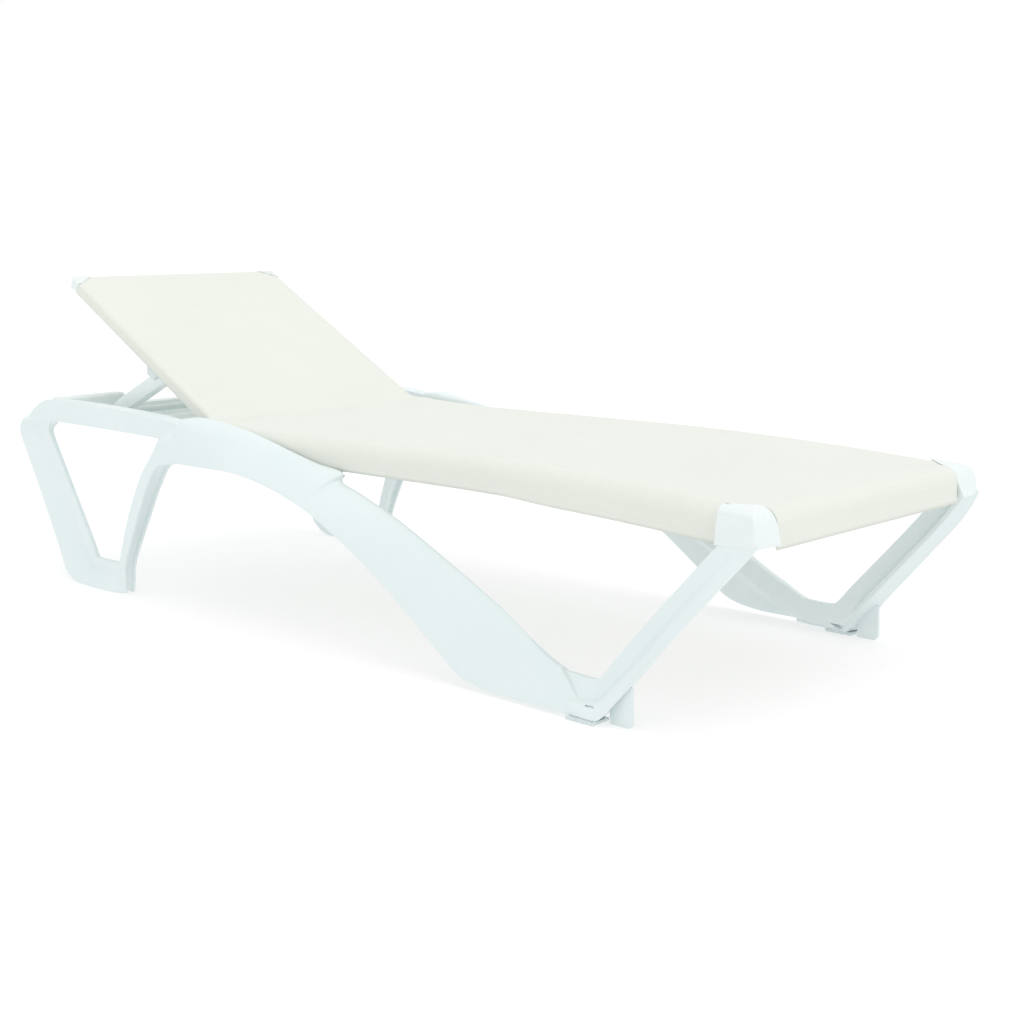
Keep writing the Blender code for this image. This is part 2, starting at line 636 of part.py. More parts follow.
def sleeve(name, half, depth, shoulder, places, end_half, reach, end_radius, flap_depth, forward, parent):
    """Fabric over two rails and an end rail, open underneath: one upper sheet with turned-down edges."""
    bottom = PANEL_TOP - depth
    outer = shoulder_arc(half, PANEL_TOP, shoulder)
    inner = shoulder_arc(half - FABRIC, PANEL_TOP - FABRIC, shoulder - FABRIC)
    outer = [(half, bottom)] + outer
    inner = [(half - FABRIC, bottom)] + inner
    outline = outer + [(-y, z) for y, z in reversed(outer)]
    outline += [(-y, z) for y, z in inner] + list(reversed(inner))
    mesh = along_x(name, outline, [forward * x for x in places])
    start = forward * (places[-1] - 0.001)
    flap = [(start, PANEL_TOP)]
    for radius, face in ((end_radius, reach), (end_radius - FABRIC, reach - FABRIC)):
        top = PANEL_TOP - (reach - face)
        arc = [(forward * (face - radius + radius * math.sin(math.radians(15 * i))),
                top - radius + radius * math.cos(math.radians(15 * i))) for i in range(7)]
        arc.append((forward * face, PANEL_TOP - flap_depth))
        flap += arc if face == reach else list(reversed(arc))
    flap.append((start, PANEL_TOP - FABRIC))
    flap_mesh = prism_mesh(name + "_flap", flap, -end_half, end_half)
    if forward > 0:
        bow(mesh)
        bow(flap_mesh)
    body = add_object(name, mesh, SLING, parent)
    boolean(body, cutter(name + "_flap", flap_mesh, parent), "UNION")
    return body


CAP_OUTSIDE = 0.301
CAP_FRONT = 0.940
CAP_CORNER = 0.022
# Each level: share of the cap's height, and how far the front and the side lean in there.
CAP_LEVELS = ((0.0, 0.0, 0.0), (0.20, 0.001, 0.001), (0.45, 0.005, 0.005), (0.70, 0.012, 0.010),
              (0.86, 0.021, 0.014), (0.96, 0.031, 0.019), (1.0, 0.044, 0.030))


def corner_cap(side, sign):
    """The moulded corner between the seat's side and front, standing on the leg."""
    bottom = LEG_TOP_Z + GAP
    rear = HINGE_X + CAP_START
    rings = []
    for share, front_in, side_in in CAP_LEVELS:
        front, outside = CAP_FRONT - front_in, CAP_OUTSIDE - side_in
        flat = [(rear, CAP_INSIDE), (front, CAP_INSIDE)]
        for i in range(7):
            turn = math.radians(15 * i)
            flat.append((front - CAP_CORNER * (1 - math.cos(turn)), outside - CAP_CORNER * (1 - math.sin(turn))))
        flat.append((rear, outside))
        ring = []
        for x, w in flat:
            top = HINGE_Z + PANEL_TOP + 0.0008 - seat_drop(x - HINGE_X)
            ring.append((x, sign * w, bottom + share * (top - bottom)))
        rings.append(ring)
    mesh = loft_mesh("corner_cap_" + side, rings)
    smooth(mesh)
    return add_object("corner_cap_" + side, mesh, CAP_RESIN)


# ---------------------------------------------------------------- backrest, lying flat behind its hinge
BACK_RAIL_OUT = BACK_HALF - FABRIC - GAP
BACK_BOTTOM = PANEL_TOP - BACK_DEPTH


def back_rail(side, sign, back):
    low, high = span(sign, BACK_RAIL_OUT - BACK_RAIL_WIDTH, BACK_RAIL_OUT)
    mesh = box_mesh("backrest_rail_" + side, (-(BACK_LENGTH - BACK_CAP - GAP), low, BACK_BOTTOM),
                    (0.011, high, RAIL_TOP), 0, 0.0062, 3)
    rail = add_object("backrest_rail_" + side, mesh, TUBE, back)
    low, high = span(sign, BACK_RAIL_OUT - 0.03, BACK_RAIL_OUT + 0.01)
    boolean(rail, cutter("pin_hole_" + side, cylinder_mesh("pin_hole_" + side, PIN_RADIUS + GAP, low, high), back))
    return rail


def back_cross_rail(name, centre, width, back, reach=BACK_RAIL_OUT - BACK_RAIL_WIDTH - GAP):
    mesh = box_mesh(name, (-centre - width / 2, -reach, BACK_BOTTOM), (-centre + width / 2, reach, RAIL_TOP),
                    1, 0.005, 3)
    smooth(mesh)
    return add_object(name, mesh, TUBE, back)


def back_cap(side, sign, back):
    low, high = span(sign, BACK_CAP_INSIDE, BACK_HALF)
    mesh = box_mesh("backrest_cap_" + side, (-BACK_LENGTH, low, BACK_BOTTOM),
                    (-(BACK_LENGTH - BACK_CAP), high, PANEL_TOP), None, 0.005, 3)
    smooth(mesh)
    return add_object("backrest_cap_" + side, mesh, CAP_RESIN, back)


BRACKET_OUT = BACK_RAIL_OUT - BACK_RAIL_WIDTH - GAP
BRACKET_REAR, BRACKET_FRONT = 0.038, 0.013
BRACKET_DROP = 0.026


def prop_bracket(side, sign, back):
    """A plate on the rail's inner face that carries the prop's pin."""
    low, high = span(sign, BRACKET_OUT - BRACKET_THICK, BRACKET_OUT)
    mesh = box_mesh("prop_bracket_" + side, (-PROP_PIVOT - BRACKET_REAR, low, -BRACKET_DROP),
                    (-PROP_PIVOT + BRACKET_FRONT, high, RAIL_TOP - 0.002), 1, 0.008, 3)
    bracket = add_object("prop_bracket_" + side, mesh, RESIN, back)
    low, high = span(sign, BRACKET_OUT - 0.01, BRACKET_OUT + 0.001)
    hole = cylinder_mesh("bracket_hole_" + side, PROP_PIN_RADIUS + GAP, low, high, -PROP_PIVOT)
    boolean(bracket, cutter("bracket_hole_" + side, hole, back))
    return bracket


def prop_pin(side, sign, back):
    low, high = span(sign, PROP_OUTSIDE - PROP_ARM_WIDTH - 0.003, BRACKET_OUT - 0.0002)
    mesh = cylinder_mesh("prop_pin_" + side, PROP_PIN_RADIUS, low, high, -PROP_PIVOT)
    smooth(mesh)
    return add_object("prop_pin_" + side, mesh, STEEL, back)


# ---------------------------------------------------------------- prop, pointing back from its pivot
def prop_arm(side, sign, prop):
    """A flat arm, round at its pivot and rounded to the bar at its foot."""
    low, high = span(sign, PROP_OUTSIDE - PROP_ARM_WIDTH, PROP_OUTSIDE - BRACKET_THICK - 0.001)
    boss, toe = 0.0122, 0.011
    back_edge, front_edge = 0.0165, 0.0125
    outline = []
    for i in range(9):
        turn = math.radians(-90 + 180 * i / 8)
        outline.append((boss * math.cos(turn), boss * math.sin(turn)))
    outline.append((-0.040, back_edge))
    outline.append((-PROP_LENGTH + 0.040, back_edge))
    for i in range(9):
        turn = math.radians(90 + 180 * i / 8)
        outline.append((-PROP_LENGTH + toe * math.cos(turn), toe * math.sin(turn)))
    outline.append((-PROP_LENGTH + 0.040, -front_edge))
    outline.append((-0.040, -front_edge))
    mesh = prism_mesh("prop_arm_" + side, outline, low, high)
    arm = add_object("prop_arm_" + side, mesh, RESIN, prop)
    low, high = span(sign, PROP_OUTSIDE - PROP_ARM_WIDTH - 0.01, PROP_OUTSIDE + 0.01)
    hole = cylinder_mesh("arm_hole_" + side, PROP_PIN_RADIUS + GAP, low, high)
    boolean(arm, cutter("arm_hole_" + side, hole, prop))
    return arm


def prop_bar(prop):
    reach = PROP_OUTSIDE - PROP_ARM_WIDTH - GAP
    mesh = cylinder_mesh("prop_foot_bar", PROP_BAR_RADIUS, -reach, reach, -PROP_LENGTH)
    smooth(mesh)
    return add_object("prop_foot_bar", mesh, RESIN, prop)


# ---------------------------------------------------------------- assembly
def build():
    hinge_place = (HINGE_X, 0.0, HINGE_Z)
    seat = make_empty("seat_axis", hinge_place, 0.0, LOUNGER)
    back = make_empty("backrest_axis", hinge_place, BACK_REST_ANGLE, LOUNGER)
    prop = make_empty("prop_axis", (-PROP_PIVOT, 0.0, 0.0), -(BACK_REST_ANGLE + PROP_REST_ANGLE), back)
    for side, sign in SIDES:
        bolts = bolt_holes(side, sign, seat)
        head_frame(side, sign)
        side_arm(side, sign, seat, bolts)
        front_leg(side, sign)
        foot_pad("front_foot_pad_" + side, sign, 0.642, 0.6975)
        seat_rail(side, sign, seat, bolts)
        for index in (1, 2):
            seat_bolt(side, sign, index, seat)
        hinge_pin(side, sign)
        corner_cap(side, sign)
        back_rail(side, sign, back)
        back_cap(side, sign, back)
        prop_bracket(side, sign, back)
        prop_pin(side, sign, back)
        prop_arm(side, sign, prop)
    head_crossbar()
    ratchet_deck()
    cross_member("seat_rear_rail", 0.055, 0.026, 0.030, seat)
    cross_member("seat_middle_rail", 0.640, 0.030, 0.036, seat)
    front_rail(seat)
    sleeve("seat_sling", SEAT_HALF, SEAT_DEPTH, SEAT_SHOULDER, seat_stations(SEAT_START, CAP_START - GAP),
           CAP_INSIDE - GAP, FRONT_REACH, 0.022, FLAP_DEPTH, 1, seat)
    back_cross_rail("backrest_lower_rail", 0.050, 0.022, back)
    back_cross_rail("backrest_top_rail", BACK_LENGTH - FABRIC - GAP - 0.013, 0.026, back, BACK_CAP_INSIDE - GAP)
    sleeve("backrest_sling", BACK_HALF, BACK_DEPTH, BACK_SHOULDER, (BACK_START, BACK_LENGTH - BACK_CAP - GAP),
           BACK_CAP_INSIDE - GAP, BACK_LENGTH, 0.008, BACK_DEPTH, -1, back)
    prop_bar(prop)


build()
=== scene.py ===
"""Looks of a reclining sun lounger: moulded white side frames and a woven sleeve stretched over its rails.

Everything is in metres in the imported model's frame: +X towards the foot end, +Y to the left, +Z up.
The tables of sections are written from a working origin that lies CENTRE_SHIFT ahead of the model's origin.
"""
import json
import math

import bmesh
import bpy
from mathutils import Matrix, Vector


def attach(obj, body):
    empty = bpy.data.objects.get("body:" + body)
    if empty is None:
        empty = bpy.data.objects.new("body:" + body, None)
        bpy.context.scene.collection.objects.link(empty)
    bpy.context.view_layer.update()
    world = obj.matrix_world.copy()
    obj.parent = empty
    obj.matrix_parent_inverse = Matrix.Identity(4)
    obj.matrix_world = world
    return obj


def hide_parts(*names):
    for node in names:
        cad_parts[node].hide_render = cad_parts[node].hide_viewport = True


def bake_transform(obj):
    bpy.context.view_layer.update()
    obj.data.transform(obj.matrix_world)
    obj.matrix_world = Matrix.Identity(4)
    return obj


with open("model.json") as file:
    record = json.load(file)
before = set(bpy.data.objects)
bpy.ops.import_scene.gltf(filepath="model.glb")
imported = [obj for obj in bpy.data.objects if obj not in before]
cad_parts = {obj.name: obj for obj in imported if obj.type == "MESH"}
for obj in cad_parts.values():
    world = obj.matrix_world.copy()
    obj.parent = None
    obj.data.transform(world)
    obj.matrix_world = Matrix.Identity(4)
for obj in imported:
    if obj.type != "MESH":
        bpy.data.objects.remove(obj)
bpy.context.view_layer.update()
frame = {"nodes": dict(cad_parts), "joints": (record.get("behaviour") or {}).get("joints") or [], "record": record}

HINGE = next(j for j in frame["joints"] if j["name"] == "backrest_hinge")["pos_m"]

# ------------ driving sizes
WORKING_HINGE_X = -0.365        # the backrest's hinge axis from the working origin
CENTRE_SHIFT = HINGE[0] - WORKING_HINGE_X
HINGE_Z = HINGE[2]
BACK_REST_ANGLE = math.radians(28.7)  # the backrest above level in the rest pose
OUTER_W = 0.351                 # half width over the side frames' outer skins
FOOT_W = 0.357                  # half width over the feet
JOINT_X = -0.386                # head frame against side arm
HEAD_END_X = -0.950
SOLE_Z = 0.006                  # underside of the front feet, held off the ground by their pads
SIDES = (("right", -1), ("left", 1))


# ------------ node materials
class Shader:
    """A material's node tree, with short calls to add nodes and join them."""

    def __init__(self, name, roughness):
        self.material = bpy.data.materials.new(name)
        self.material.use_nodes = True
        self.tree = self.material.node_tree
        self.surface = self.tree.nodes["Principled BSDF"]
        self.surface.inputs["Roughness"].default_value = roughness

    def add(self, kind, **settings):
        node = self.tree.nodes.new(kind)
        for key, value in settings.items():
            setattr(node, key, value)
        return node

    def put(self, value, socket):
        """Joins an output to a socket, or sets the socket to a number or colour."""
        if isinstance(value, bpy.types.NodeSocket):
            self.tree.links.new(value, socket)
        else:
            socket.default_value = value

    def math(self, operation, first, second=0.0, third=0.0):
        node = self.add("ShaderNodeMath", operation=operation)
        for value, socket in zip((first, second, third), node.inputs):
            self.put(value, socket)
        return node.outputs[0]

    def noise(self, vector, scale, detail=2.0, roughness=0.5):
        node = self.add("ShaderNodeTexNoise")
        self.put(vector, node.inputs["Vector"])
        node.inputs["Scale"].default_value = scale
        node.inputs["Detail"].default_value = detail
        node.inputs["Roughness"].default_value = roughness
        return node.outputs["Fac"]

    def ramp(self, factor, low, high, start, end):
        """A value that runs from low to high while factor goes from start to end."""
        node = self.add("ShaderNodeMapRange")
        self.put(factor, node.inputs["Value"])
        for name, value in (("From Min", start), ("From Max", end), ("To Min", low), ("To Max", high)):
            node.inputs[name].default_value = value
        return node.outputs["Result"]

    def mix(self, factor, first, second, blend="MIX"):
        node = self.add("ShaderNodeMix", data_type="RGBA", blend_type=blend)
        self.put(factor, node.inputs["Factor"])
        self.put(first, node.inputs["A"])
        self.put(second, node.inputs["B"])
        return node.outputs["Result"]

    def bump(self, height, distance, strength=1.0, normal=None):
        node = self.add("ShaderNodeBump")
        node.inputs["Strength"].default_value = strength
        node.inputs["Distance"].default_value = distance
        self.put(height, node.inputs["Height"])
        if normal:
            self.put(normal, node.inputs["Normal"])
        return node.outputs["Normal"]

    def finish(self, colour, roughness=None, normal=None):
        self.put(colour, self.surface.inputs["Base Color"])
        if roughness is not None:
            self.put(roughness, self.surface.inputs["Roughness"])
        if normal is not None:
            self.put(normal, self.surface.inputs["Normal"])
        return self.material


def moulded(name, colour, shade, gloss, grain):
    """Moulded resin: a fine spark-eroded grain, faint flow marks, and edges polished paler by handling."""
    s = Shader(name, gloss)
    place = s.add("ShaderNodeTexCoord").outputs["Object"]
    flow = s.noise(place, 7.0, 4.0, 0.55)
    mottle = s.noise(place, 55.0, 3.0)
    base = s.mix(s.ramp(flow, 0.0, 1.0, 0.3, 0.7), (*shade, 1.0), (*colour, 1.0))
    worn = s.ramp(s.add("ShaderNodeNewGeometry").outputs["Pointiness"], 0.0, 0.35, 0.52, 0.60)
    paler = [min(1.0, 1.03 * channel) for channel in colour]
    base = s.mix(worn, base, (*paler, 1.0))
    scuff = s.ramp(mottle, gloss - 0.03, gloss + 0.05, 0.35, 0.70)
    fine = s.noise(place, 1500.0, 2.0)
    waves = s.noise(place, 24.0, 1.0)
    normal = s.bump(fine, 0.00006 * grain)
    normal = s.bump(waves, 0.0006, 0.12, normal)
    return s.finish(base, scuff, normal)


YARN = 0.0013                   # spacing of the sleeve's yarns
HEM = 0.011                     # from the sleeve's edge to its row of stitches
STITCH = 0.0042
YARN_SHADE, YARN_LIGHT = (0.620, 0.645, 0.575, 1.0), (0.838, 0.862, 0.806, 1.0)
STREAK, BAR, CAST = (0.755, 0.790, 0.712, 1.0), (0.860, 0.880, 0.832, 1.0), (0.795, 0.836, 0.772, 1.0)
THREAD = (0.92, 0.92, 0.90, 1.0)


def woven():
    """Plain weave of coated yarn, laid out in the sleeve's own flat metres, with a stitched hem."""
    s = Shader("woven_sleeve", 0.68)
    cloth = s.add("ShaderNodeUVMap", uv_map="cloth").outputs["UV"]
    split = s.add("ShaderNodeSeparateXYZ")
    s.put(cloth, split.inputs[0])
    across, along = split.outputs["X"], split.outputs["Y"]
    warp = s.math("SINE", s.math("MULTIPLY", across, math.pi / YARN))
    weft = s.math("SINE", s.math("MULTIPLY", along, math.pi / YARN))
    over = s.math("MULTIPLY", warp, weft)
    crowned = s.math("MULTIPLY_ADD", over, 0.5, 0.5)
    gaps = s.math("MULTIPLY", s.math("ABSOLUTE", warp), s.math("ABSOLUTE", weft))
    weave = s.math("MULTIPLY_ADD", crowned, 0.55, s.math("MULTIPLY", s.math("POWER", gaps, 0.5), 0.45))

    stretched = s.add("ShaderNodeMapping")
    s.put(cloth, stretched.inputs["Vector"])
    stretched.inputs["Scale"].default_value = (1.0, 0.02, 1.0)
    streaks = s.noise(stretched.outputs["Vector"], 420.0, 2.0)
    stretched = s.add("ShaderNodeMapping")
    s.put(cloth, stretched.inputs["Vector"])
    stretched.inputs["Scale"].default_value = (0.03, 1.0, 1.0)
    bars = s.noise(stretched.outputs["Vector"], 420.0, 2.0)
    cast = s.noise(cloth, 3.5, 3.0)

    colour = s.mix(s.ramp(weave, 0.0, 1.0, 0.25, 0.75), YARN_SHADE, YARN_LIGHT)
    colour = s.mix(s.ramp(streaks, 0.0, 0.30, 0.35, 0.75), colour, STREAK)
    colour = s.mix(s.ramp(bars, 0.0, 0.22, 0.35, 0.75), colour, BAR)
    colour = s.mix(s.ramp(cast, 0.0, 0.35, 0.30, 0.75), colour, CAST)

    edge = s.add("ShaderNodeUVMap", uv_map="edge").outputs["UV"]
    split = s.add("ShaderNodeSeparateXYZ")
    s.put(edge, split.inputs[0])
    inwards, run = split.outputs["X"], split.outputs["Y"]
    off_line = s.math("ABSOLUTE", s.math("SUBTRACT", inwards, HEM))
    line = s.ramp(off_line, 1.0, 0.0, 0.0003, 0.0010)
    dash = s.ramp(s.math("SINE", s.math("MULTIPLY", run, 2 * math.pi / STITCH)), 0.0, 1.0, -0.45, 0.1)
    thread = s.math("MULTIPLY", line, dash)
    colour = s.mix(s.math("MULTIPLY", thread, 0.6), colour, THREAD)

    height = s.math("MULTIPLY_ADD", thread, 1.6, weave)
    normal = s.bump(height, 0.00022)
    normal = s.bump(s.noise(cloth, 38.0, 2.0), 0.0008, 0.30, normal)
    s.surface.inputs["Sheen Weight"].default_value = 0.12
    s.surface.inputs["Sheen Roughness"].default_value = 0.5
    s.surface.inputs["Specular IOR Level"].default_value = 0.35
    rough = s.ramp(weave, 0.78, 0.58, 0.2, 0.8)
    return s.finish(colour, rough, normal)


def rubbery():
    """Pale grey rubber, a little dusty."""
    s = Shader("grey_rubber_look", 0.8)
    place = s.add("ShaderNodeTexCoord").outputs["Object"]
    dust = s.noise(place, 90.0, 4.0)
    base = s.mix(s.ramp(dust, 0.0, 1.0, 0.35, 0.7), (0.62, 0.71, 0.71, 1.0), (0.72, 0.79, 0.79, 1.0))
    return s.finish(base, s.ramp(dust, 0.70, 0.88, 0.3, 0.7), s.bump(s.noise(place, 1200.0), 0.0001))


def brushed():
    """Steel pins, with fine lines from drawing."""
    s = Shader("pin_steel_look", 0.3)
    place = s.add("ShaderNodeTexCoord").outputs["Object"]
    lines = s.add("ShaderNodeMapping")
    s.put(place, lines.inputs["Vector"])
    lines.inputs["Scale"].default_value = (1.0, 30.0, 1.0)
    drawn = s.noise(lines.outputs["Vector"], 160.0, 3.0)
    s.surface.inputs["Metallic"].default_value = 1.0
    base = s.mix(drawn, (0.52, 0.53, 0.54, 1.0), (0.66, 0.67, 0.68, 1.0))
    return s.finish(base, s.ramp(drawn, 0.24, 0.40, 0.2, 0.8), s.bump(drawn, 0.00005))


RESIN = moulded("frame_resin", (0.755, 0.830, 0.832), (0.728, 0.810, 0.814), 0.36, 1.0)
CAP_RESIN = moulded("cap_resin", (0.785, 0.840, 0.838), (0.765, 0.824, 0.822), 0.28, 0.6)
# A paler copy of the frame resin for the CAD pieces that stay, such as the deck, crossbar and prop arms: painted
# light that lifts the shade they lie in under the sleeve and the backrest.
RESIN_PAINTED_LIGHTER = moulded("inner_resin_painted_lighter", (0.860, 0.925, 0.925), (0.840, 0.910, 0.912), 0.40, 1.0)
TUBE = moulded("rail_resin_look", (0.70, 0.73, 0.71), (0.66, 0.69, 0.67), 0.45, 1.0)
SLING = woven()
PAD = rubbery()
STEEL = brushed()


# ------------ mesh helpers
def rows_through(knots, steps, closed=False):
    """Rows of numbers on a Catmull-Rom curve through the knots' rows."""
    count = len(knots)
    rows = []
    for i in range(count if closed else count - 1):
        if closed:
            four = [knots[(i + k) % count] for k in (-1, 0, 1, 2)]
        else:
            four = [knots[min(max(i + k, 0), count - 1)] for k in (-1, 0, 1, 2)]
        for step in range(steps):
            t = step / steps
            weights = (-t * (1 - t) ** 2 / 2,
                       (2 - 5 * t ** 2 + 3 * t ** 3) / 2,
                       t * (1 + 4 * t - 3 * t ** 2) / 2,
                       t ** 2 * (t - 1) / 2)
            rows.append(tuple(sum(w * row[c] for w, row in zip(weights, four))
                              for c in range(len(knots[0]))))
    if not closed:
        rows.append(tuple(knots[-1]))
    return rows


def ease(value, start, end):
    """0 before start, 1 after end, and smooth between them."""
    t = min(max((value - start) / (end - start), 0.0), 1.0)
    return t * t * (3 - 2 * t)


ARC_STEPS = 4                   # pieces in a rounded corner
ARC_SHARE = 0.48                # at most this share of a side goes into a corner's arc
LOFT_STEPS = 8                  # sections from one row of a table to the next


def rounded(outline):
    """A closed outline of (x, y, radius) points, with each corner that has a radius turned into an arc."""
    points = []
    count = len(outline)
    for i, (x, y, radius) in enumerate(outline):
        here = Vector((x, y))
        if not radius:
            points.append(here)
            continue
        before = Vector(outline[i - 1][:2]) - here
        after = Vector(outline[(i + 1) % count][:2]) - here
        reach = min(radius, ARC_SHARE * before.length, ARC_SHARE * after.length)
        start = here + before.normalized() * reach
        end = here + after.normalized() * reach
        for step in range(ARC_STEPS + 1):
            t = step / ARC_STEPS
            points.append(start * (1 - t) ** 2 + here * (2 * t * (1 - t)) + end * t ** 2)
    return points


def standing(sign, start, end, outline):
    """A member's section in the plane from start to end (x, z) and across: share, half width, radius."""
    start, end = Vector(start), Vector(end)
    length = (end - start).length
    way = (end - start) / length
    flat = rounded([(share * length, w, radius) for share, w, radius in outline])
    return [(start.x + way.x * p.x, sign * p.y, start.y + way.y * p.x) for p in flat]


def lofted(name, rings, closed=False):
    """Rings of points joined one to the next; an open loft is capped at both ends."""
    shape = bmesh.new()
    rows = [[shape.verts.new(point) for point in ring] for ring in rings]
    count = len(rows[0])
    joins = list(zip(rows, rows[1:]))
    if closed:
        joins.append((rows[-1], rows[0]))
    for first, second in joins:
        for i in range(count):
            j = (i + 1) % count
            shape.faces.new((first[i], first[j], second[j], second[i]))
    if not closed:
        shape.faces.new(rows[0])
        shape.faces.new(rows[-1])
    return closed_mesh(name, shape)


def prism(outline, low, high, soft=0.0):
    """A flat (x, z) outline carried across from y = low to y = high, with its two rims softened."""
    shape = bmesh.new()
    rows = [[shape.verts.new((x, y, z)) for x, z in outline] for y in (low, high)]
    count = len(outline)
    for i in range(count):
        j = (i + 1) % count
        shape.faces.new((rows[0][i], rows[0][j], rows[1][j], rows[1][i]))
    ends = [shape.faces.new(row) for row in rows]
    if soft:
        rims = [edge for face in ends for edge in face.edges]
        bmesh.ops.bevel(shape, geom=rims, offset=soft, segments=2, profile=0.5, affect="EDGES")
    return shape


SHARP_ANGLE = 32                # degrees; sharper edges are shaded as edges


def closed_mesh(name, shape, angle=SHARP_ANGLE):
    """A mesh from a bmesh, with its faces turned outwards and shaded smooth except at sharp edges."""
    bmesh.ops.recalc_face_normals(shape, faces=shape.faces)
    mesh = bpy.data.meshes.new(name)
    shape.to_mesh(mesh)
    shape.free()
    mesh.shade_smooth()
    mesh.set_sharp_from_angle(angle=math.radians(angle))
    return mesh


def add_piece(name, mesh, material, body, slot, *nodes):
    """A new piece in place of CAD nodes. Its mesh is in the working frame."""
    mesh.transform(Matrix.Translation((CENTRE_SHIFT, 0.0, 0.0)))
    mesh.materials.append(material)
    piece = bpy.data.objects.new(name, mesh)
    bpy.context.scene.collection.objects.link(piece)
    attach(piece, body)
    if nodes:
        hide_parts(*nodes)
    return piece


def cut_away(piece, shape_mesh):
    """Cuts one shape out of a piece's mesh for good."""
    shape_mesh.transform(Matrix.Translation((CENTRE_SHIFT, 0.0, 0.0)))
    knife = bpy.data.objects.new("knife", shape_mesh)
    bpy.context.scene.collection.objects.link(knife)
    modifier = piece.modifiers.new("cut", "BOOLEAN")
    modifier.solver = "EXACT"
    modifier.object = knife
    bpy.context.view_layer.update()
    graph = bpy.context.evaluated_depsgraph_get()
    carved = bpy.data.meshes.new_from_object(piece.evaluated_get(graph))
    piece.modifiers.remove(modifier)
    piece.data = carved
    bpy.data.objects.remove(knife)
    carved.shade_smooth()
    carved.set_sharp_from_angle(angle=math.radians(SHARP_ANGLE))


# ------------ head frames
LIP = 0.005                     # walls beside the channel
CHANNEL_DRAFT = 0.0015
WEB_SHARE = 0.42                # of the member's depth, before it begins to flare
FLARE_STEPS = 7
BURIED_X = JOINT_X + 0.034      # the head frame's end, hidden inside the arm

# Round the head loop, from the joint with the arm, down the front branch, along the foot, up the rear
# leg and back along the rail. Each row: hole edge x, z; outer edge x, z; half widths of the outer face
# at the hole and at the outer edge, and of the inner face at the hole and at the outer edge; depth of
# the channel as a share of the member.
HEAD_LOOP = (
    (-0.424, 0.3255, BURIED_X, 0.352, 0.343, 0.336, 0.305, 0.305, 0.0),
    (-0.416, 0.3205, BURIED_X, 0.326, 0.350, 0.3470, 0.310, 0.310, 0.0),
    (-0.422, 0.3115, BURIED_X, 0.2865, 0.351, 0.3475, 0.314, 0.314, 0.0),
    (-0.443, 0.2880, -0.420, 0.272, 0.351, 0.351, 0.314, 0.314, 0.15),
    (-0.483, 0.2450, -0.461, 0.229, 0.351, 0.351, 0.314, 0.314, 0.30),
    (-0.526, 0.1770, -0.502, 0.162, 0.351, 0.351, 0.317, 0.317, 0.34),
    (-0.556, 0.1150, -0.534, 0.104, 0.351, 0.351, 0.321, 0.321, 0.34),
    (-0.577, 0.0670, -0.556, 0.058, 0.350, 0.352, 0.324, 0.324, 0.30),
    (-0.588, 0.0570, -0.573, 0.000, 0.345, 0.346, 0.321, 0.322, 0.10),
    (-0.617, 0.0550, -0.615, 0.000, 0.338, FOOT_W, 0.318, 0.314, 0.0),
    (-0.690, 0.0550, -0.725, 0.000, 0.332, FOOT_W, 0.321, 0.310, 0.0),
    (-0.704, 0.0630, -0.779, 0.017, 0.330, 0.356, 0.321, 0.308, 0.0),
    (-0.722, 0.0930, -0.813, 0.067, 0.330, 0.353, 0.321, 0.306, 0.0),
    (-0.784, 0.1870, -0.873, 0.167, 0.330, 0.351, 0.321, 0.305, 0.0),
    (-0.850, 0.2870, -0.935, 0.271, 0.331, 0.351, 0.321, 0.305, 0.0),
    (-0.861, 0.3080, HEAD_END_X, 0.300, 0.332, 0.351, 0.319, 0.305, 0.0),
    (-0.855, 0.3190, -0.940, 0.325, 0.333, 0.350, 0.314, 0.305, 0.0),
    (-0.848, 0.3250, -0.929, 0.336, 0.334, 0.339, 0.311, 0.305, 0.0),
    (-0.833, 0.3290, -0.906, 0.354, 0.334, 0.336, 0.308, 0.305, 0.0),
    (-0.806, 0.3290, -0.858, 0.3725, 0.335, 0.335, 0.305, 0.305, 0.0),
    (-0.760, 0.3285, -0.765, 0.3745, 0.335, 0.335, 0.305, 0.305, 0.0),
    (-0.600, 0.3275, -0.590, 0.3715, 0.337, 0.337, 0.305, 0.305, 0.0),
    (-0.450, 0.3260, -0.430, 0.3645, 0.341, 0.339, 0.305, 0.305, 0.0),
)


def head_outline(web, edge, hole_back, back, channel):
    """The web flares outwards to the member's outer edge; a channel can be sunk in that edge."""
    outline = [(0.0, web, 0.0016), (WEB_SHARE, web, 0.0)]
    for i in range(1, FLARE_STEPS):
        share = i / FLARE_STEPS
        flare = (edge - web) * ease(share, -0.12, 1.05)
        outline.append((WEB_SHARE + (1 - WEB_SHARE) * share, web + flare, 0.0))
    floor = 1.0 - channel
    outline += [(1.0, edge, 0.0028),
                (1.0, edge - LIP, 0.0010),
                (floor, edge - LIP - CHANNEL_DRAFT, 0.002),
                (floor, back + LIP + CHANNEL_DRAFT, 0.002),
                (1.0, back + LIP, 0.0010),
                (1.0, back, 0.0022),
                (0.5, (back + hole_back) / 2, 0.0),
                (0.0, hole_back, 0.0016)]
    return outline


def head_frame(side, sign):
    """The loop of rear leg, foot, front branch and top rail."""
    rings = []
    sections = rows_through(HEAD_LOOP, LOFT_STEPS, closed=True)
    for ix, iz, ox, oz, web, edge, hole_back, back, channel in sections:
        outline = head_outline(web, edge, hole_back, back, max(channel, 0.0))
        rings.append(standing(sign, (ix, iz), (min(ox, BURIED_X), max(oz, 0.0)), outline))
    name = "head_frame_shell_" + side
    mesh = lofted(name, rings, closed=True)
    return add_piece(name, mesh, RESIN, "frame", "white_resin", "head_frame_" + side)


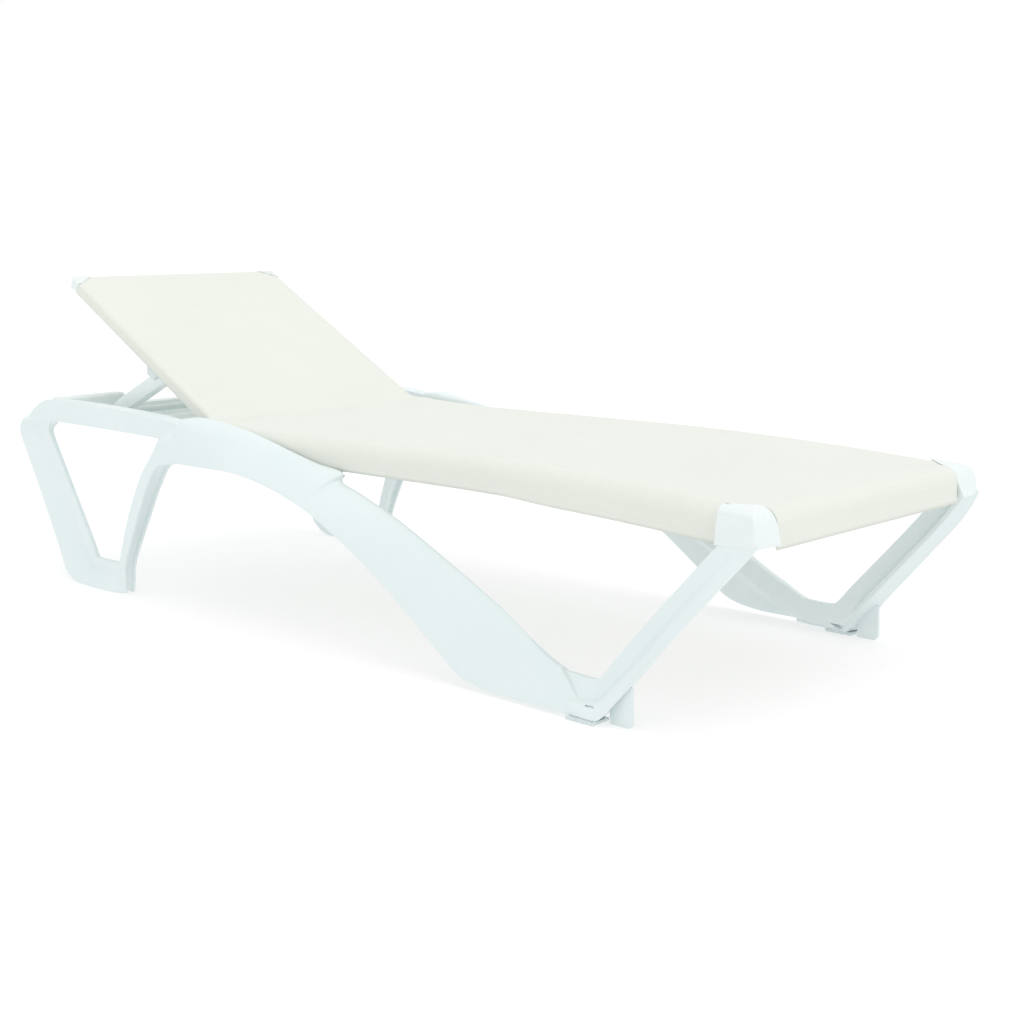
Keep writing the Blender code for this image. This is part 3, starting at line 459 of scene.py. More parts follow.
# ------------ side arms
NOSE_X, NOSE_LENGTH = -0.375, 0.016           # tip of the arm's nose, and the stretch that is rounded
NOSE_STEP = 0.016                             # how far the nose's tip is sunk
NOSE_LEAN = 0.010                             # how far the nose's crest leans in, to face up
NOSE_FLOOR, NOSE_CREST = 0.342, 0.366         # heights between which the nose leans
SHOULDER_SINK = 0.0042                        # how far the skin below the nose is sunk
SKIN_END_TOP, SKIN_END_HEM = 0.590, 0.686     # the arm's skin ends on a slant across the foot
# Each row: crest x, z; hem x, z; half widths of the crest and of the inner face; the inner face's
# share of the section's height; power of the skin's swell; share of the height where it begins.
ARM = (
    (JOINT_X, 0.3600, JOINT_X, 0.285, 0.299, 0.2910, 0.60, 0.08, 0.0),
    (NOSE_X, 0.3650, NOSE_X, 0.285, 0.297, 0.2900, 0.60, 0.08, 0.0),
    (NOSE_X + NOSE_LENGTH, 0.3668, NOSE_X + NOSE_LENGTH, 0.2845, 0.295, 0.2890, 0.60, 0.09, 0.0),
    (-0.332, 0.3668, -0.332, 0.284, 0.291, 0.2880, 0.57, 0.13, 0.0),
    (-0.300, 0.3645, -0.295, 0.284, 0.290, 0.2865, 0.55, 0.22, 0.0),
    (-0.255, 0.3600, -0.255, 0.284, 0.290, 0.2865, 0.55, 0.34, 0.0),
    (-0.197, 0.3520, -0.205, 0.284, 0.290, 0.2865, 0.55, 0.44, 0.0),
    (-0.137, 0.3400, -0.150, 0.281, 0.290, 0.2865, 0.55, 0.52, 0.0),
    (-0.051, 0.3210, -0.085, 0.271, 0.290, 0.2865, 0.55, 0.55, 0.0),
    (0.005, 0.3100, -0.040, 0.261, 0.290, 0.2865, 0.55, 0.55, 0.0),
    (0.066, 0.3020, 0.005, 0.2485, 0.290, 0.2865, 0.55, 0.55, 0.0),
    (0.070, 0.2850, 0.028, 0.2410, 0.296, 0.2890, 0.52, 0.55, 0.0),
    (0.124, 0.2710, 0.085, 0.2175, 0.301, 0.2930, 0.49, 0.55, 0.0),
    (0.226, 0.2370, 0.165, 0.1780, 0.303, 0.2960, 0.45, 0.55, 0.0),
    (0.345, 0.1860, 0.265, 0.1180, 0.306, 0.2990, 0.41, 0.55, 0.0),
    (0.460, 0.1340, 0.362, 0.0510, 0.309, 0.3020, 0.37, 0.55, 0.0),
    (0.525, 0.0980, 0.415, 0.0180, 0.311, 0.3040, 0.37, 0.58, 0.0),
    (0.562, 0.0790, 0.490, SOLE_Z, 0.313, 0.3050, 0.50, 0.65, 0.03),
    (0.578, 0.0705, 0.585, SOLE_Z, 0.3135, 0.3055, 0.80, 0.85, 0.02),
    (SKIN_END_TOP, 0.0645, SKIN_END_HEM, SOLE_Z, 0.3140, 0.3060, 0.92, 1.0, 0.0),
)
SKIN = 0.007                    # thickness of the skin
SWELL_STEPS, SWELL_PACKING = 14, 1.8          # points down the skin, closer together near the crest


def arm_outline(crest, inside, depth, power, begin):
    """A beam under the crest, with a thin skin that swells outwards and down to the hem."""
    def skin(share):
        return crest + (OUTER_W - crest) * max(0.0, (share - begin) / (1 - begin)) ** power

    outline = [(0.0, crest + 0.002, 0.001)]
    for i in range(1, SWELL_STEPS + 1):
        share = (i / SWELL_STEPS) ** SWELL_PACKING
        outline.append((share, skin(share), 0.0018 if i == SWELL_STEPS else 0.0))
    hung = 1.0 - depth
    low, middle = 1.0 - 0.35 * hung, 1.0 - 0.70 * hung
    outline += [(1.0, skin(1.0) - SKIN * 0.55, 0.0014),
                (low, skin(low) - SKIN, 0.0),
                (middle, skin(middle) - SKIN, 0.0),
                (depth, inside + 0.006, 0.002),
                (depth - 0.06, inside, 0.002),
                (0.10, inside, 0.0),
                (0.03, inside + 0.002, 0.002)]
    return outline


def tucked(point, sign):
    """Sinks the arm's first stretch into the head frame: its upper part ends in a nose like a thumb's tip,
    and the skin below comes up gently through the head frame's face."""
    x, y, z = point
    outer = ease(abs(y), 0.322, 0.336)
    upper = ease(z, 0.336, 0.341)
    gone = min(max(1 - (x - NOSE_X) / NOSE_LENGTH, 0.0), 1.0)
    tip = 1 - math.sqrt(1 - gone ** 2)
    low = SHOULDER_SINK * (1 - ease(x, JOINT_X, BURIED_X + 0.006))
    lean = NOSE_LEAN * (1 - ease(x, NOSE_X + 0.008, NOSE_X + 0.042))
    lean *= max(z - NOSE_FLOOR, 0.0) / (NOSE_CREST - NOSE_FLOOR)
    deep = outer * (low + upper * (NOSE_STEP * tip + lean - low))
    return x, y - sign * deep, z - 0.006 * tip * ease(z, 0.350, 0.360)


def side_arm(side, sign):
    """The arm that sweeps from the head frame down to the front foot."""
    rings = []
    for tx, tz, bx, bz, crest, inside, depth, power, begin in rows_through(ARM, LOFT_STEPS):
        start, end = (min(tx, SKIN_END_TOP), tz), (min(bx, SKIN_END_HEM), max(bz, SOLE_Z))
        outline = arm_outline(crest, inside, depth, max(power, 0.1), max(begin, 0.0))
        rings.append([tucked(point, sign) for point in standing(sign, start, end, outline)])
    name = "side_arm_shell_" + side
    mesh = lofted(name, rings)
    return add_piece(name, mesh, RESIN, "frame", "white_resin", "side_arm_" + side)


# ------------ front legs
LEG_TOP_Z = 0.2795              # where the leg meets the corner cap
LEG_START_X = 0.584             # the leg's lower end, hidden inside the side arm
LEG_ROOT_Z = LEG_TOP_Z + 0.006  # the leg's upper end, hidden inside the corner cap
# Each row: rear (upper) edge x, z; front (lower) inner corner x, z; how far the outer corner stands
# ahead of it; half widths of the outer face at the rear, where the flange begins and at the front, and of
# the inner face at the rear and at the front; share where the flange begins; power of its swell; depth
# of its groove.
FRONT_LEG = (
    (LEG_START_X, 0.058, LEG_START_X, 0.0085, 0.0, 0.3110, 0.322, 0.335, 0.307, 0.318, 0.55, 0.35, 0.0),
    (0.618, 0.0560, 0.618, SOLE_Z, 0.0, 0.3130, 0.330, 0.3465, 0.306, 0.320, 0.55, 0.35, 0.0),
    (0.648, 0.0550, 0.652, SOLE_Z, 0.0, 0.3140, 0.334, 0.3520, 0.306, 0.320, 0.55, 0.35, 0.0),
    (0.668, 0.0570, 0.686, SOLE_Z, 0.010, 0.3140, 0.326, 0.353, 0.307, 0.316, 0.56, 0.40, 0.0),
    (0.682, 0.0690, 0.713, 0.0390, 0.015, 0.3130, 0.318, 0.344, 0.307, 0.306, 0.57, 0.60, 0.0),
    (0.708, 0.0990, 0.741, 0.0724, 0.015, 0.3130, 0.314, 0.336, 0.307, 0.298, 0.58, 0.90, 0.0009),
    (0.782, 0.1790, 0.813, 0.1524, 0.015, 0.3130, 0.313, 0.331, 0.307, 0.297, 0.58, 0.90, 0.0011),
    (0.852, 0.2550, 0.882, 0.2284, 0.015, 0.3070, 0.308, 0.322, 0.301, 0.290, 0.58, 0.90, 0.0009),
    (0.8735, LEG_TOP_Z, 0.923, LEG_TOP_Z, 0.013, 0.3006, 0.3006, 0.3010, 0.294, 0.280, 0.60, 0.90, 0.0),
    (0.879, LEG_ROOT_Z, 0.921, LEG_ROOT_Z, 0.010, 0.2990, 0.2990, 0.2990, 0.292, 0.280, 0.60, 0.90, 0.0),
)
GROOVE_SHARE = 0.70             # of the leg's depth, at its groove
FLANGE_OFFSETS = (-0.10, -0.035, 0.0, 0.035, 0.10, 0.19)
FIN_REAR, FIN_FRONT = 0.7055, 0.7465
FIN_NEAR, FIN_FAR = 0.3236, 0.3294
FIN_TOP = 0.064
FIN_ROUND = 0.0008


def leg_outline(ahead, rear_out, web_out, front_out, rear_in, front_in, begin, power, groove):
    """Points (share, half width, radius, ahead): a thin web that opens into a grooved flange in front."""
    def skin(share):
        return web_out + (front_out - web_out) * max(0.0, (share - begin) / (1 - begin)) ** power

    outline = [(0.0, rear_out, 0.0014, 0.0), (min(begin, 0.59), web_out, 0.0, 0.0)]
    for offset in FLANGE_OFFSETS:
        share = GROOVE_SHARE + offset
        sunk = 0.0 if offset else groove
        outline.append((share, skin(share) - sunk, 0.0, 0.7 * ahead * ease(share, GROOVE_SHARE, 1.0)))
    outline += [(1.0, front_out, 0.0022, ahead),
                (1.0, front_in, 0.0016, 0.0),
                (0.80, front_in, 0.002, 0.0),
                (0.70, rear_in, 0.002, 0.0),
                (0.0, rear_in, 0.0014, 0.0)]
    return outline


def leg_ring(sign, rear, front, outline):
    """A leg's section, each point moved forward by its own amount."""
    flat = standing(sign, rear, front, [point[:3] for point in outline])
    ahead = [point[3] for point in outline for _ in range(ARC_STEPS + 1 if point[2] else 1)]
    return [(x + forward, y, z) for (x, y, z), forward in zip(flat, ahead)]


SLOT_REAR, SLOT_FRONT = 0.669, 0.686
SLOT_LOW, SLOT_HIGH = 0.0218, 0.0240
SLOT_FLOOR, SLOT_OUT = 0.3390, 0.3620


def slot_box(sign):
    """The drain slot's shape, low in the foot's outer face."""
    outline = ((SLOT_REAR, SLOT_LOW), (SLOT_FRONT, SLOT_LOW),
               (SLOT_FRONT, SLOT_HIGH), (SLOT_REAR, SLOT_HIGH))
    return closed_mesh("slot", prism(outline, sign * SLOT_FLOOR, sign * SLOT_OUT))


def front_leg(side, sign):
    """The foot and the leg that rises from it to the corner cap, with its drain slot and its fin."""
    rings = []
    for rx, rz, fx, fz, ahead, *widths in rows_through(FRONT_LEG, LOFT_STEPS):
        rear = (max(rx, LEG_START_X), min(rz, LEG_ROOT_Z))
        front = (max(fx, LEG_START_X), min(max(fz, SOLE_Z), LEG_ROOT_Z))
        outline = leg_outline(max(ahead, 0.0), *widths[:7], max(widths[7], 0.0))
        rings.append(leg_ring(sign, rear, front, outline))
    name = "front_leg_shell_" + side
    leg = add_piece(name, lofted(name, rings), RESIN, "frame", "white_resin", "front_leg_" + side)
    cut_away(leg, slot_box(sign))
    fin = stacking_fin(side, sign)
    fin.parent = leg
    return leg


def stacking_fin(side, sign):
    """An upright fin in front of the leg that reaches the ground."""
    outline = rounded(((FIN_REAR, 0.0, 0.0006),
                       (FIN_FRONT - 0.006, 0.0, FIN_ROUND),
                       (FIN_FRONT, 0.007, FIN_ROUND),
                       (FIN_FRONT - 0.001, FIN_TOP - 0.004, FIN_ROUND),
                       (FIN_FRONT - 0.012, FIN_TOP, FIN_ROUND),
                       (FIN_REAR, 0.030, 0.0006)))
    low, high = sorted((sign * FIN_NEAR, sign * FIN_FAR))
    mesh = closed_mesh("stacking_fin_" + side, prism(outline, low, high, soft=0.0006), 50)
    return add_piece("stacking_fin_" + side, mesh, RESIN, "frame", "white_resin")


for side_name, side_sign in SIDES:
    head_frame(side_name, side_sign)
    side_arm(side_name, side_sign)
    front_leg(side_name, side_sign)


# ------------ the seat's line
PANEL_TOP = 0.016               # sleeve's upper face above the hinge axis
CAP_START = 1.230               # front corner caps' rear edge, ahead of the hinge axis
CAP_INSIDE = 0.242


def seat_drop(x):
    """How far the seat lies below its line through the hinge, x ahead of the hinge axis."""
    return 0.006 * ease(x, 0.0, 0.250) + 0.065 * max(0.0, x - 0.665) ** 2


# ------------ front corner caps
CAP_OUTSIDE = 0.301
CAP_FRONT = 0.940
CREASE_X = 0.934                # the upright crease between the cap's front and side
CAP_CORNER = 0.004
CAP_STATIONS = 10               # points along the cap's side
HOLLOW_DEPTH, HOLLOW_LENGTH, HOLLOW_RISE = 0.0030, 0.066, 0.62
# The sleeve is cut on a slant from (cap's rear, NOTCH_W) to (NOTCH_X, CAP_INSIDE).
NOTCH_X, NOTCH_W = 0.903, 0.274
CAP_BOTTOM = LEG_TOP_Z + 0.0003
CAP_RAISED = 0.0008             # the cap's top above the sleeve
# Each level: share of the cap's height, and how far the front's inner edge, the upright crease between
# front and side, and the side lean in there.
CAP_LEVELS = ((0.0, 0.0012, 0.0012, 0.0010), (0.025, 0.0, 0.0, 0.0), (0.25, 0.0045, 0.0006, 0.0008),
              (0.45, 0.0080, 0.0012, 0.0020), (0.70, 0.0130, 0.0030, 0.0048), (0.84, 0.0180, 0.0065, 0.0085),
              (0.93, 0.0240, 0.0125, 0.0140), (0.975, 0.0300, 0.0200, 0.0195), (1.0, 0.0390, 0.0310, 0.0290))


def hollowed(x, w, share):
    """How far the cap's side is sunk above the line on which the leg's web runs up into it."""
    line = HOLLOW_RISE * (x - WORKING_HINGE_X - CAP_START - 0.004) / HOLLOW_LENGTH
    above = ease(share, line - 0.02, line + 0.10) * (1 - ease(share, 0.74, 0.90))
    on_side = ease(w, CAP_OUTSIDE - 0.022, CAP_OUTSIDE - 0.014)
    return HOLLOW_DEPTH * above * on_side * (1 - ease(x, CREASE_X - 0.016, CREASE_X - 0.004))


def corner_cap(side, sign):
    """The moulded corner between the seat's side and front, with an upright crease and a rounded top."""
    rear = WORKING_HINGE_X + CAP_START
    rings = []
    for share, inner_in, crease_in, side_in in rows_through(CAP_LEVELS, 3):
        outside = CAP_OUTSIDE - side_in
        crease = CREASE_X - crease_in
        inside = CAP_INSIDE + 0.0045 * (1 - ease(share, 0.0, 0.60))
        flat = [(rear, NOTCH_W, 0.002), (min(NOTCH_X, CAP_FRONT - inner_in - 0.002), inside, 0.002),
                (CAP_FRONT - inner_in, inside, 0.0010), (crease, outside, CAP_CORNER)]
        length = crease - rear - 0.008
        flat += [(rear + length * i / CAP_STATIONS, outside, 0.0) for i in range(CAP_STATIONS, 0, -1)]
        flat += [(rear, outside, 0.003)]
        ring = []
        for point in rounded(flat):
            top = HINGE_Z + PANEL_TOP + CAP_RAISED - seat_drop(point.x - WORKING_HINGE_X)
            w = point.y - hollowed(point.x, point.y, share)
            ring.append((point.x, sign * w, CAP_BOTTOM + min(share, 1.0) * (top - CAP_BOTTOM)))
        rings.append(ring)
    name = "corner_cap_shell_" + side
    return add_piece(name, lofted(name, rings), CAP_RESIN, "frame", "white_cap_resin", "corner_cap_" + side)


# ------------ foot pads
PAD_REAR, PAD_FRONT = 0.642, 0.6975
PAD_NEAR, PAD_FAR = 0.321, 0.3560
PAD_NOTCHES, PAD_NOTCH_DEPTH = 9, 0.0010


def foot_pad(side, sign):
    """A rubber block under the front foot, with notches along its upper rim and a chamfered tread."""
    pitch = (PAD_FRONT - PAD_REAR) / PAD_NOTCHES
    outline = [(PAD_REAR + 0.003, 0.0), (PAD_FRONT - 0.004, 0.0), (PAD_FRONT, 0.002)]
    for i in range(PAD_NOTCHES, 0, -1):
        high = PAD_REAR + pitch * i
        outline += [(high, SOLE_Z),
                    (high - 0.62 * pitch, SOLE_Z),
                    (high - 0.66 * pitch, SOLE_Z - PAD_NOTCH_DEPTH),
                    (high - 0.96 * pitch, SOLE_Z - PAD_NOTCH_DEPTH)]
    outline += [(PAD_REAR, 0.0022)]
    near, far = sorted((sign * PAD_NEAR, sign * PAD_FAR))
    name = "foot_pad_shell_" + side
    mesh = closed_mesh(name, prism(outline, near, far, soft=0.0003))
    return add_piece(name, mesh, PAD, "frame", "grey_rubber", "front_foot_pad_" + side)


# ------------ the sleeve
CLOTH = 0.0020                  # thickness
BACK_LENGTH = 0.564             # from the hinge axis to the backrest's top
BACK_NOTCH = 0.030              # along the side, from the backrest's top to the slanted cut in the sleeve
BACK_CAP_INSIDE = 0.2192
BACK_HALF, SEAT_HALF = 0.2595, 0.283
BACK_DEPTH, SEAT_DEPTH = 0.024, 0.051         # depth of the turned-down sides
FRONT_DEEPER = 0.005            # the seat's sides are deeper by this near the front
HINGE_LIFT = 0.012              # the sides' hem rises by this at the hinge
BACK_SHOULDER, SEAT_SHOULDER = 0.008, 0.026
FRONT_REACH = 1.295             # from the hinge axis to the seat's front
FLAP_DEPTH = 0.056              # depth of the front flap
BEND = 0.014                    # from the hinge axis to where the bend over it begins, on the backrest
SEAT_BEND = BEND + 0.006        # the same, on the seat
END_RADIUS, END_STEPS = 0.022, 8
TOP_RADIUS, TOP_TURNS = 0.008, 6
BEND_STEPS, FLAP_ROWS = 9, 5
STATION = 0.0085                # about the distance between the cloth's rows


def run_line():
    """The sleeve's middle line as (x, z) points, from the backrest's top hem to the seat's front hem."""
    rise = Vector((-math.cos(BACK_REST_ANGLE), math.sin(BACK_REST_ANGLE)))
    off = Vector((math.sin(BACK_REST_ANGLE), math.cos(BACK_REST_ANGLE)))
    axis = Vector((WORKING_HINGE_X, HINGE_Z))

    def back(a, height):
        return axis + rise * a + off * height

    def seat(x):
        return Vector((WORKING_HINGE_X + x, HINGE_Z + PANEL_TOP - seat_drop(x)))

    flat_top = BACK_LENGTH - TOP_RADIUS
    line = [back(BACK_LENGTH, PANEL_TOP - BACK_DEPTH), back(BACK_LENGTH, PANEL_TOP - 0.6 * BACK_DEPTH)]
    for i in range(TOP_TURNS + 1):
        turn = math.radians(90 * i / TOP_TURNS)
        height = PANEL_TOP - TOP_RADIUS * (1 - math.sin(turn))
        line.append(back(flat_top + TOP_RADIUS * math.cos(turn), height))
    count = round((flat_top - BEND) / STATION)
    for i in range(1, count + 1):
        line.append(back(flat_top - (flat_top - BEND) * i / count, PANEL_TOP))
    start, corner, end = line[-1], seat(0.004), seat(SEAT_BEND)
    for i in range(1, BEND_STEPS):
        t = i / BEND_STEPS
        line.append(start * (1 - t) ** 2 + corner * (2 * t * (1 - t)) + end * t ** 2)
    flat = FRONT_REACH - END_RADIUS
    count = round((flat - SEAT_BEND) / STATION)
    line += [seat(SEAT_BEND + (flat - SEAT_BEND) * i / count) for i in range(count + 1)]
    for i in range(1, END_STEPS + 1):
        turn = math.radians(90 * i / END_STEPS)
        x = flat + END_RADIUS * math.sin(turn)
        line.append(seat(x) - Vector((0.0, END_RADIUS * (1 - math.cos(turn)))))
    front = line[-1]
    bottom = HINGE_Z + PANEL_TOP - FLAP_DEPTH - seat_drop(FRONT_REACH)
    for i in range(1, FLAP_ROWS + 1):
        line.append(Vector((front.x, front.y + (bottom - front.y) * i / FLAP_ROWS)))
    return line


def side_shape(x):
    """Half width, depth of the turned-down side and shoulder radius of the sleeve, at x on its line."""
    ahead = x - WORKING_HINGE_X
    half = BACK_HALF + (SEAT_HALF - BACK_HALF) * ease(ahead, -0.014, 0.030)
    seat_depth = SEAT_DEPTH + FRONT_DEEPER * ease(x, 0.40, 0.57)
    depth = BACK_DEPTH + (seat_depth - BACK_DEPTH) * ease(ahead, 0.004, 0.070)
    depth -= HINGE_LIFT * math.exp(-((ahead - 0.004) / 0.018) ** 2)
    shoulder = BACK_SHOULDER + (SEAT_SHOULDER - BACK_SHOULDER) * ease(ahead, 0.0, 0.09)
    return half, depth, shoulder


FLAP_STEPS, SHOULDER_STEPS, TOP_STEPS = 5, 7, 16


def cross_line(half, depth, radius):
    """Points (y, z, length along the cloth) from the middle of the sleeve to its side hem."""
    flat = half - radius
    points = [(flat * i / TOP_STEPS, 0.0) for i in range(TOP_STEPS + 1)]
    for i in range(1, SHOULDER_STEPS + 1):
        turn = math.radians(90 * i / SHOULDER_STEPS)
        points.append((flat + radius * math.sin(turn), -radius * (1 - math.cos(turn))))
    for i in range(1, FLAP_STEPS + 1):
        points.append((half, -radius - (depth - radius) * i / FLAP_STEPS))
    length, row = 0.0, []
    for k, (y, z) in enumerate(points):
        if k:
            length += math.dist((y, z), points[k - 1])
        row.append((y, z, length))
    return row


SAG = 0.0022                    # how far the sleeve hangs in its middle
# Each fold: place ahead of the hinge axis, how much it fans out away from the side, depth and half width.
FOLDS = ((0.024, 0.0, 0.0020, 0.0045), (0.046, 0.08, 0.0018, 0.005), (0.070, 0.20, 0.0014, 0.006),
         (-0.018, -0.05, 0.0012, 0.0045), (0.100, 0.36, 0.0010, 0.008))
FAN_REACH, FAN_RATE = 0.12, 0.45


def folds(x, y):
    """Fine creases that fan out from the hinge's two corners, across the sleeve."""
    height = 0.0
    ahead = x - WORKING_HINGE_X
    from_side = SEAT_HALF - abs(y)
    for offset, spread, size, width in FOLDS:
        gathered = 0.35 + 0.65 * min(from_side / FAN_REACH, 1.0)
        centre = offset * gathered + spread * from_side * FAN_RATE
        fade = ease(from_side, 0.006, 0.05) * (1 - 0.75 * ease(from_side, 0.10, 0.26))
        height -= size * fade * math.exp(-((ahead - centre) / width) ** 2)
    return height


def notch_planes(sign):
    """One side's two corner cuts: whether at the front, and its planes as (point, outward direction)."""
    rear = WORKING_HINGE_X + CAP_START
    slant = Vector((NOTCH_W - CAP_INSIDE, sign * (NOTCH_X - rear), 0.0))
    front = [(Vector((rear, 0.0, 0.0)), Vector((1.0, 0.0, 0.0))),
             (Vector((0.0, sign * CAP_INSIDE, 0.0)), Vector((0.0, sign, 0.0))),
             (Vector((rear, sign * NOTCH_W, 0.0)), slant)]
    rise = Vector((-math.cos(BACK_REST_ANGLE), 0.0, math.sin(BACK_REST_ANGLE)))
    axis = Vector((WORKING_HINGE_X, 0.0, HINGE_Z))
    low = axis + rise * (BACK_LENGTH - BACK_NOTCH) + Vector((0.0, sign * BACK_HALF, 0.0))
    slant = rise * (BACK_HALF - BACK_CAP_INSIDE) + Vector((0.0, sign * BACK_NOTCH, 0.0))
    return ((True, front), (False, [(low, slant)]))


UNCUT_FROM, UNCUT_TO = -0.80, 0.84            # between these places the cuts leave the sleeve alone
CORNER_W = BACK_CAP_INSIDE - 0.02             # and nearer to the middle than this


def near_an_end(face):
    return not UNCUT_FROM < face.calc_center_median().x < UNCUT_TO


def near_corner(face, sign):
    return near_an_end(face) and face.calc_center_median().y * sign > CORNER_W


def cut_corners(shape):
    """Cuts the sleeve's corners away for the caps."""
    for sign in (-1, 1):
        for at_front, planes in notch_planes(sign):
            for point, way in planes:
                faces = [face for face in shape.faces if near_corner(face, sign)]
                edges = dict.fromkeys(edge for face in faces for edge in face.edges)
                verts = dict.fromkeys(vert for face in faces for vert in face.verts)
                bmesh.ops.bisect_plane(shape, geom=[*faces, *edges, *verts], plane_co=point, plane_no=way,
                                       dist=1e-6)
            gone = []
            for face in shape.faces:
                centre = face.calc_center_median()
                outside = all((centre - point).dot(way) > 0 for point, way in planes)
                if near_an_end(face) and (centre.x > 0) == at_front and outside:
                    gone.append(face)
            bmesh.ops.delete(shape, geom=gone, context="FACES")


def sleeve_rows(line, travelled):
    """Rings from hem to hem: each point's place, its place on the flat cloth, and its way in from the hem."""
    rows = []
    for i, here in enumerate(line):
        way = (line[min(i + 1, len(line) - 1)] - line[max(i - 1, 0)]).normalized()
        up = Vector((-way.y, way.x))
        half, depth, radius = side_shape(here.x)
        row = cross_line(half, depth, radius)
        whole = row[-1][2]
        sagging = SAG * ease(here.x, -0.86, -0.75) * (1 - ease(here.x, 0.80, 0.90))
        ring = []
        for y, drop, length in [(-y, drop, -length) for y, drop, length in reversed(row[1:])] + row:
            lift = drop
            if abs(drop) < 0.001:
                lift += folds(here.x, y) - sagging * (1 - (y / half) ** 2)
            place = here + up * lift
            ring.append(((place.x, y, place.y), (length, travelled[i]), whole - abs(length)))
        rows.append(ring)
    return rows


SIDE_HEM = 0.03                 # nearer to the side hem than this, stitches run along the sleeve


def sleeve():
    """One sheet from the backrest's top to the seat's front, with its corners cut for the caps."""
    line = run_line()
    travelled = [0.0]
    for before, after in zip(line, line[1:]):
        travelled.append(travelled[-1] + (after - before).length)
    rows = sleeve_rows(line, travelled)
    shape = bmesh.new()
    cloth = shape.loops.layers.uv.new("cloth")
    edge = shape.loops.layers.uv.new("edge")
    verts = [[shape.verts.new(place) for place, _, _ in ring] for ring in rows]
    for i in range(len(rows) - 1):
        for k in range(len(rows[0]) - 1):
            corners = ((i, k), (i, k + 1), (i + 1, k + 1), (i + 1, k))
            face = shape.faces.new([verts[a][b] for a, b in corners])
            for loop, (a, b) in zip(face.loops, corners):
                _, flat_place, inwards = rows[a][b]
                loop[cloth].uv = flat_place
                loop[edge].uv = (inwards, travelled[a] if inwards < SIDE_HEM else travelled[-1])
    cut_corners(shape)
    mesh = closed_mesh("woven_sleeve", shape, 60)
    mesh.transform(Matrix.Translation((CENTRE_SHIFT, 0.0, 0.0)))
    mesh.materials.append(SLING)
    piece = bpy.data.objects.new("woven_sleeve", mesh)
    bpy.context.scene.collection.objects.link(piece)
    solid = piece.modifiers.new("cloth", "SOLIDIFY")
    solid.thickness = CLOTH
    solid.offset = -1.0
    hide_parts("seat_sling", "backrest_sling")
    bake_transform(piece)
    return piece


# ------------ backrest caps and prop brackets
CAP_PROUD = 0.0006              # the cap's top above the sleeve
CAP_GAP = 0.0004                # between the cap and the sleeve's cut
PIVOT_ALONG = 0.200             # from the hinge axis to the prop's pivot
BRACKET_FRONT, BRACKET_REAR = PIVOT_ALONG - 0.013, PIVOT_ALONG + 0.0616
BRACKET_STEP = PIVOT_ALONG + 0.036            # ahead of it the plate is shallow, to pass over the deck's lip
BRACKET_TOP, BRACKET_SHALLOW, BRACKET_DROP = 0.004, -0.026, -0.041
BRACKET_SLOPE = 0.0188          # how far the plate's rear edge leans back
BRACKET_OUT, BRACKET_THICK = 0.2392, 0.003


def on_backrest(along, height):
    """Working x and z of a place on the backrest at rest, along it and square to it from the hinge axis."""
    x = WORKING_HINGE_X - along * math.cos(BACK_REST_ANGLE) + height * math.sin(BACK_REST_ANGLE)
    return x, HINGE_Z + along * math.sin(BACK_REST_ANGLE) + height * math.cos(BACK_REST_ANGLE)


def backrest_cap(side, sign):
    """A corner piece at the backrest's top, seen as a triangle beside the sleeve's slanted cut."""
    inside = BACK_CAP_INSIDE + CAP_GAP
    top, base = BACK_LENGTH, BACK_LENGTH - BACK_NOTCH + CAP_GAP
    bottom = PANEL_TOP - BACK_DEPTH
    rings = []
    for height, shrink in ((bottom, 0.0015), (bottom + 0.0015, 0.0), (PANEL_TOP - 0.0060, 0.0),
                           (PANEL_TOP - 0.0030, 0.0008), (PANEL_TOP - 0.0010, 0.0022),
                           (PANEL_TOP + CAP_PROUD, 0.0050)):
        flat = rounded(((base - 0.6 * shrink, BACK_HALF - shrink, 0.0),
                        (top - shrink, BACK_HALF - shrink, 0.007),
                        (top - shrink, inside - 0.6 * shrink, 0.0)))
        ring = []
        for point in flat:
            x, z = on_backrest(point.x, height)
            ring.append((x, sign * point.y, z))
        rings.append(ring)
    name = "backrest_cap_shell_" + side
    mesh = lofted(name, rings)
    return add_piece(name, mesh, CAP_RESIN, "backrest", "white_cap_resin", "backrest_cap_" + side)


def bracket_plate(side, sign):
    """The plate beside the backrest's rail that carries the prop's pin, with a steep rear edge."""
    outline = rounded(((BRACKET_REAR + BRACKET_SLOPE, BRACKET_TOP, 0.0),
                       (BRACKET_REAR, BRACKET_DROP, 0.002),
                       (BRACKET_STEP, BRACKET_DROP, 0.003),
                       (BRACKET_STEP - 0.008, BRACKET_SHALLOW, 0.003),
                       (BRACKET_FRONT, BRACKET_SHALLOW, 0.008),
                       (BRACKET_FRONT, BRACKET_TOP, 0.0)))
    places = [on_backrest(point.x, point.y) for point in outline]
    shape = prism(places, sign * (BRACKET_OUT - BRACKET_THICK), sign * BRACKET_OUT, soft=0.0006)
    name = "prop_bracket_shell_" + side
    mesh = closed_mesh(name, shape)
    return add_piece(name, mesh, RESIN, "backrest", "white_resin", "prop_bracket_" + side)


for side_name, side_sign in SIDES:
    corner_cap(side_name, side_sign)
    foot_pad(side_name, side_sign)
    backrest_cap(side_name, side_sign)
    bracket_plate(side_name, side_sign)
sleeve()
